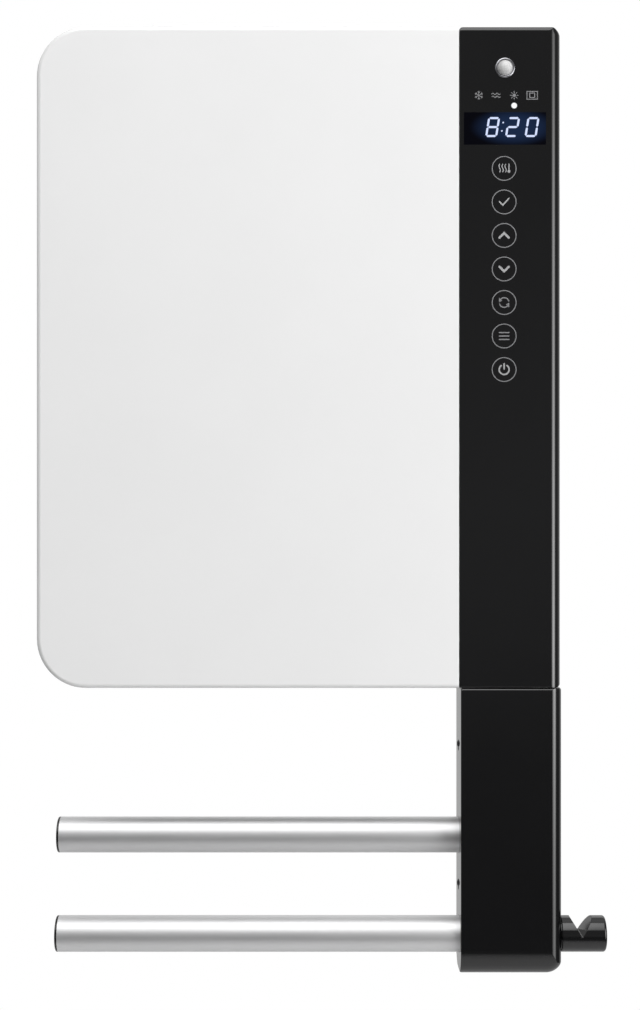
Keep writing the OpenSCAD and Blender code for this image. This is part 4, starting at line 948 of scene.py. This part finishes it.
def netMesh(n):
    # over and under weave: two sets of waved wires each way, half a wave apart
    x0, y0, z0, x1, y1, z1 = netSpan
    p, z = n["pitch"], (z0 + z1) / 2
    g = Growth("netSteel", Pitch=p * mm, Wire=n["wire"] * mm, Wave=n["wave"] * mm)
    section = g.add("CurvePrimitiveCircle", {"Resolution": 4, "Radius": g.inputs["Wire"]})
    sets = g.add("JoinGeometry", out=None)
    for axis, (low, high, sideLow, sideHigh) in enumerate(((x0, x1, y0, y1), (y0, y1, x0, x1))):
        spans, rows = int((high - low) / p), int((sideHigh - sideLow) / p)
        start = (high - low - spans * p) / 2 + low
        side = (sideHigh - sideLow - (rows - 1) * p) / 2 + sideLow
        for phase in (0, 1):
            near, far, first, step = ([0.0, 0.0, 0.0] for _ in range(4))
            near[axis], far[axis] = start, start + spans * p
            first[1 - axis], first[2], step[1 - axis] = side + phase * p, z, 2 * p
            path = g.add("CurvePrimitiveLine", {"Start": metres(near), "End": metres(far)})
            path = g.add("ResampleCurve", {"Curve": path, "Count": spans + 1})
            index = g.add("InputIndex") + (phase + axis)
            wave = (g.sum("PINGPONG", index, 1.0) * 2 - 1) * g.inputs["Wave"]
            lift = g.add("CombineXYZ", {2: wave})
            waved = g.add("SetPosition", {"Geometry": path, "Offset": lift})
            wire = g.add("CurveToMesh", {"Curve": waved, "Profile Curve": section,
                                         "Fill Caps": True})
            placed = g.row(wire, (rows + 1 - phase) // 2, metres(first), metres(step))
            g.tree.links.new(placed.socket, sets.inputs[0])
    return g.mesh(Wire(g, sets.outputs[0]))


standIn("filter_cassette", filterMesh(cassette), "filterWhite", "white_satin", body="filter")
piece("filterNet", netMesh(net), "netSteel", "grey_plastic", body="filter")
print("done: filter")


# the outlet below: a flanged frame, a row of vanes and two long bars

outlet = {"flange": 3.0, "flangeT": 2.0, "wall": 2.0, "pitch": 9.0, "vaneT": 1.6, "barT": 1.6,
          "soft": 0.5, "corner": 3.0}


def outletMesh(o):
    x0, y0, z0, x1, y1, z1 = span("outlet_grille")
    e, lip, wall, seat = o["soft"], o["flange"], o["flange"] + o["wall"], z0 + o["flangeT"]
    frameRing = ringAround((x0, y0, x1, y1), o["corner"], [
        (0, seat), (0, z0 + e), (e * 0.3, z0 + e * 0.3), (e, z0), (wall - e, z0), (wall, z0 + e),
        (wall, z1), (lip, z1), (lip, seat)])
    inX0, inX1, inY0, inY1 = x0 + lip, x1 - lip, y0 + lip, y1 - lip
    tall, third = z1 - 1 - z0, (inY1 - inY0) / 3
    vanes = swept("blackPlastic", inY1 - inY0 - 2, o["vaneT"], tall - e,
                  (inX0 + o["pitch"], inY0 + 1, z0 + e + (tall - e) / 2), soft=e,
                  count=int((inX1 - 4 - inX0) / o["pitch"]), step=(o["pitch"], 0, 0))
    long = swept("blackPlastic", inX1 - inX0 - 2, o["barT"], z1 - 3 - z0 - 1,
                 (inX1 - 1, inY0 + third, (z0 + 1 + z1 - 3) / 2), turn=(0.0, 0.0, pi / 2), soft=e,
                 count=2, step=(0, third, 0))
    return joined([frameRing, vanes, long])


standIn("outlet_grille", outletMesh(outlet), "blackPlastic", "black_plastic")
print("done: outlet")


# every screw and bolt, set where the CAD has it

def solidsOf(node):
    # the points of each separate solid of a CAD node, in mm
    shape = nodeShape(node)
    left, found = set(shape.verts), []
    while left:
        reached = [left.pop()]
        for vert in reached:
            for edge in vert.link_edges:
                other = edge.other_vert(vert)
                if other in left:
                    left.remove(other)
                    reached.append(other)
        found.append([Vector(vert.co) / mm for vert in reached])
    shape.free()
    return sorted(found, key=lambda points: [round(min(p[i] for p in points), 3) for i in range(3)])


def screwFacts(points):
    # a screw's axis, the side and seat of its head, and its sizes
    low, high = ([end(p[i] for p in points) for i in range(3)] for end in (min, max))
    wide = [h - l for l, h in zip(low, high)]
    axis = wide.index(max(wide))
    mid = [(l + h) / 2 for l, h in zip(low, high)]
    reach = {}
    for p in points:
        key, (u, v) = round(p[axis], 3), [p[i] - mid[i] for i in range(3) if i != axis]
        reach[key] = max(reach.get(key, 0), hypot(u, v))
    headR, shankR = max(reach.values()), min(reach.values())
    headAt = [at for at, r in reach.items() if r > 0.95 * headR]
    headH = max(headAt) - min(headAt)
    side = 1 if sum(headAt) / len(headAt) > mid[axis] else -1
    mid[axis] = min(headAt) if side > 0 else max(headAt)
    return {"axis": axis, "side": side, "seat": mid, "headR": headR, "headH": headH,
            "shankR": shankR, "length": wide[axis] - headH}


def screwShape(s, socket):
    # domed head with a cross or hexagonal recess, and a shank with a blunt point
    r, h, shank, end = s["headR"], s["headH"], s["shankR"], -s["length"]
    crown = [(r * sin(a), h - r * 0.16 * (1 - cos(a)) * 2.2) for a in (0.35, 0.7, 1.0)]
    body = turned([(0, h), *crown, (r * 0.97, h * 0.42), (r, h * 0.3), (r, 0), (shank, 0),
                   (shank, end + 0.6), (shank * 0.55, end), (0, end)], (0, 0, 0), "Z", 32)
    bottom = h - h * 0.62
    if socket == "hexagon":
        return cutAway(body, turned([(r * 0.5, bottom), (r * 0.5, h + 2)], (0, 0, 0), "Z", 6))
    arm, half = r * 0.6, r * 0.11
    return cutAway(body, *(blockMesh((-wide, -tall, bottom), (wide, tall, h + 2))
                           for wide, tall in ((arm, half), (half, arm))))


def screwSet(node, socket, finish):
    # one screw's mesh, placed by a tree where the node's screws sit
    facts = [screwFacts(points) for points in solidsOf(node)]
    first = facts[0]
    head = bpy.data.objects.new("screwHead", screwShape(first, socket))
    seats = bpy.data.meshes.new("seats")
    seats.from_pydata([metres(f["seat"]) for f in facts], [], [])
    quarter = pi / 2 * first["side"]
    turn = (0.0, quarter, 0.0) if first["axis"] == 0 else (-quarter, 0.0, 0.0)
    g = Growth(finish, Screw=head, Turn=turn)
    screw = g.add("ObjectInfo", {"Object": g.inputs["Screw"]}, "Geometry")
    laid = g.add("Transform", {"Geometry": screw, "Rotation": g.inputs["Turn"]})
    points = g.add("MeshToPoints", {"Mesh": g.inputs["Start"]})
    mesh = g.mesh(g.add("InstanceOnPoints", {"Points": points, "Instance": laid}), seats)
    discard(head)
    return mesh


sockets = {"cross": ["casing_screws", "panel_screws", "standoff_screws", "tongue_screws",
                     "cover_screws", "motor_screws"],
           "hexagon": ["bar_bolts", "hook_bolt"]}
for socket, nodes in sockets.items():
    for node in nodes:
        finish = "darkSteel" if node == "cover_screws" else "brightSteel"
        standIn(node, screwSet(node, socket, finish), finish, "bright_steel", sharp=28)
print("done: screws")


# rigid nodes whose edges show: the CAD's own form with its edges softened

softened = {
    # finish, slot and width of the softened edges
    "rear_casing": ("whiteSatin", "white_satin", 0.5),
    "wall_bracket": ("zincSteel", "zinc_steel", 0.25),
    "front_chassis": ("greyPlastic", "grey_plastic", 0.3),
    "tower_standoff": ("blackPlastic", "black_plastic", 0.5),
    "mains_switch_body": ("blackPlastic", "black_plastic", 0.3),
    "mains_rocker": ("blackPlastic", "black_plastic", 0.35),
    "cable_grommet": ("rubberBlack", "rubber_black", 0.4),
}
for node, (finish, slotName, width) in softened.items():
    body = "rocker" if node == "mains_rocker" else "heater"
    standIn(node, merged(node), finish, slotName, body=body, bevel=width)
print("done: softened nodes")


# the CAD nodes that stay, each with its finish

carried = {
    "zincSteel": ["tower_frame", "air_guide", "left_end_plate", "right_end_plate", "motor_straps"],
    "brightSteel": ["fan_shaft"],
    "circuitBoard": ["control_board", "power_board"],
    "blackPlastic": ["display_module", "thermal_cutout", "fan_impeller"],
    "greyPlastic": ["touch_pads", "filter_mesh"],
    "bluePlastic": ["relays"],
    "creamPlastic": ["terminal_block", "heater_frame", "status_led"],
    "rubberBlack": ["rubber_bearing_mount"],
    "laminationSteel": ["motor_stator", "motor_rotor"],
    "winding": ["motor_coil"],
    "bronze": ["shaft_bushes"],
    "castAluminium": ["bar_plugs", "heating_rows", "pir_sensor"],
}
for finish, names in carried.items():
    for name in names:
        dress(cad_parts[name].data, finish)
print("done: nodes carried over")


# camera and floor

view = {"place": (0.0142, -1.2, -0.0985), "tall": 0.6733, "distance": 1.08, "film": 36.0}
camera = bpy.data.cameras.new("camera")
camera.sensor_width = view["film"]
camera.lens = view["film"] * view["distance"] / view["tall"]
cameraObject = linked("camera", camera)
cameraObject.location = view["place"]
cameraObject.rotation_euler = (pi / 2, 0, 0)
bpy.context.scene.camera = cameraObject

ground = {"z": -1000.0, "r": 1400.0, "thick": 4, "fade": (0.55, 1.3), "shown": 0.94,
          "mirrored": 0.72, "lift": 0.12}


def floorFinish(name, spec):
    # pale floor that keeps the shadow and fades out before its edge
    f = Finish(name)
    x, y, _ = f.apart(f.place)
    edge = f.ramp((x * x + y * y) ** 0.5, *spec["fade"], 1.0, 0.0)
    camRay = f.add("LightPath", out="Is Camera Ray")
    pale = f.blend(f.noise(40), (spec["shown"] - 0.01,) * 3, (spec["shown"] + 0.01,) * 3)
    body = f.add("BsdfPrincipled", {
        "Base Color": f.blend(camRay, (spec["mirrored"],) * 3, pale), "Roughness": 0.7,
        "Emission Color": f.blend(camRay, (0.0, 0.0, 0.0), (spec["lift"],) * 3),
        "Emission Strength": 1.0})
    both = f.add("MixShader", {0: edge, 1: f.add("BsdfTransparent"), 2: body})
    f.add("OutputMaterial", {"Surface": both}, None)
    return f.material


floorMesh = turned([(ground["r"], ground["z"]), (ground["r"], ground["z"] - ground["thick"])],
                   (0, 0, 0), "Z")
floorMesh.materials.append(floorFinish("paleFloor", ground))
floorObject = linked("floor", floorMesh)


# light: four softboxes, and a room that is darker in front than above

lampAim = Vector((view["place"][0], -0.1, view["place"][2]))
soft = ((0, 0.1), (0.22, 0.62), (0.5, 1.0), (0.78, 0.62), (1, 0.1))
even = ((0, 1), (1, 1))
softboxes = {
    # azimuth to the right of the front, elevation, distance, width, height, radiance,
    # and how that falls off across the lamp and up it
    "rightSoftbox": (54, 0, 1.8, 1.12, 1.75, 9.9, soft,
                     ((0, 0.3), (0.16, 0.5), (0.26, 0.74), (0.36, 1.0), (0.56, 0.84), (0.77, 0.66),
                      (0.91, 0.4), (1, 0.3))),
    "keySoftbox": (-3, 55, 2.2, 1.75, 2.25, 4.1,
                   ((0, 0.2), (0.15, 0.75), (0.5, 1), (0.85, 0.75), (1, 0.2)),
                   ((0, 0.55), (0.12, 0.9), (0.4, 1), (0.9, 1), (1, 0.9))),
    "leftFill": (-75, 25, 2.2, 1.0, 1.0, 1.0, even, even),
    "rearFill": (170, 30, 2.4, 2.0, 1.2, 0.8, even, even),
}
for name, (azimuth, elevation, distance, width, height, radiance, *falloffs) in softboxes.items():
    lamp = bpy.data.lights.new(name, "AREA")
    lamp.shape, lamp.size, lamp.size_y = "RECTANGLE", width, height
    lamp.energy = radiance * pi * width * height
    lamp.use_nodes = True
    g = Graph(lamp.node_tree)
    spot = g.apart(g.add("NewGeometry", out="Parametric"))
    u, v = (g.add("ValToRGB", {"Fac": at}, stops=stops) for at, stops in zip(spot, falloffs))
    g.add("OutputLight", {0: g.add("Emission", {"Strength": u * v})}, None)
    a, e = radians(azimuth), radians(elevation)
    away = Vector((sin(a) * cos(e), -cos(a) * cos(e), sin(e)))
    holder = linked(name, lamp)
    holder.location = lampAim + away * distance
    holder.rotation_euler = away.to_track_quat("Z", "Y").to_euler()
    holder.visible_camera = False

studio = {
    "backdrop": 0.6, "fade": (0.2, 0.7),
    # brightness of the room from straight below to straight above
    "room": ((0, 0.5), (0.12, 0.45), (0.2, 0.15), (0.37, 0.07), (0.42, 0.12), (0.46, 0.22),
             (0.5, 0.25), (0.6, 0.21), (0.8, 0.22), (0.93, 0.9), (1, 1.1)),
}
world = bpy.data.worlds.new("studio")
bpy.context.scene.world = world
world.use_nodes = True
w = Graph(world.node_tree)
_, back, up = w.apart(w.add("TexCoord", out="Generated"))
room = w.add("ValToRGB", {"Fac": up * 0.5 + 0.5}, stops=studio["room"])
backdrop = w.ramp(back, *studio["fade"])
strength = room * (1 - backdrop) + backdrop * studio["backdrop"]
camRay = w.add("LightPath", out="Is Camera Ray")
strength = strength * (1 - camRay) + camRay
shown = w.add("Background", {"Color": (1, 1, 1), "Strength": strength})
w.add("OutputWorld", {"Surface": shown}, None)

bpy.context.scene.view_settings.view_transform = "Standard"
print("done: camera, floor and light")
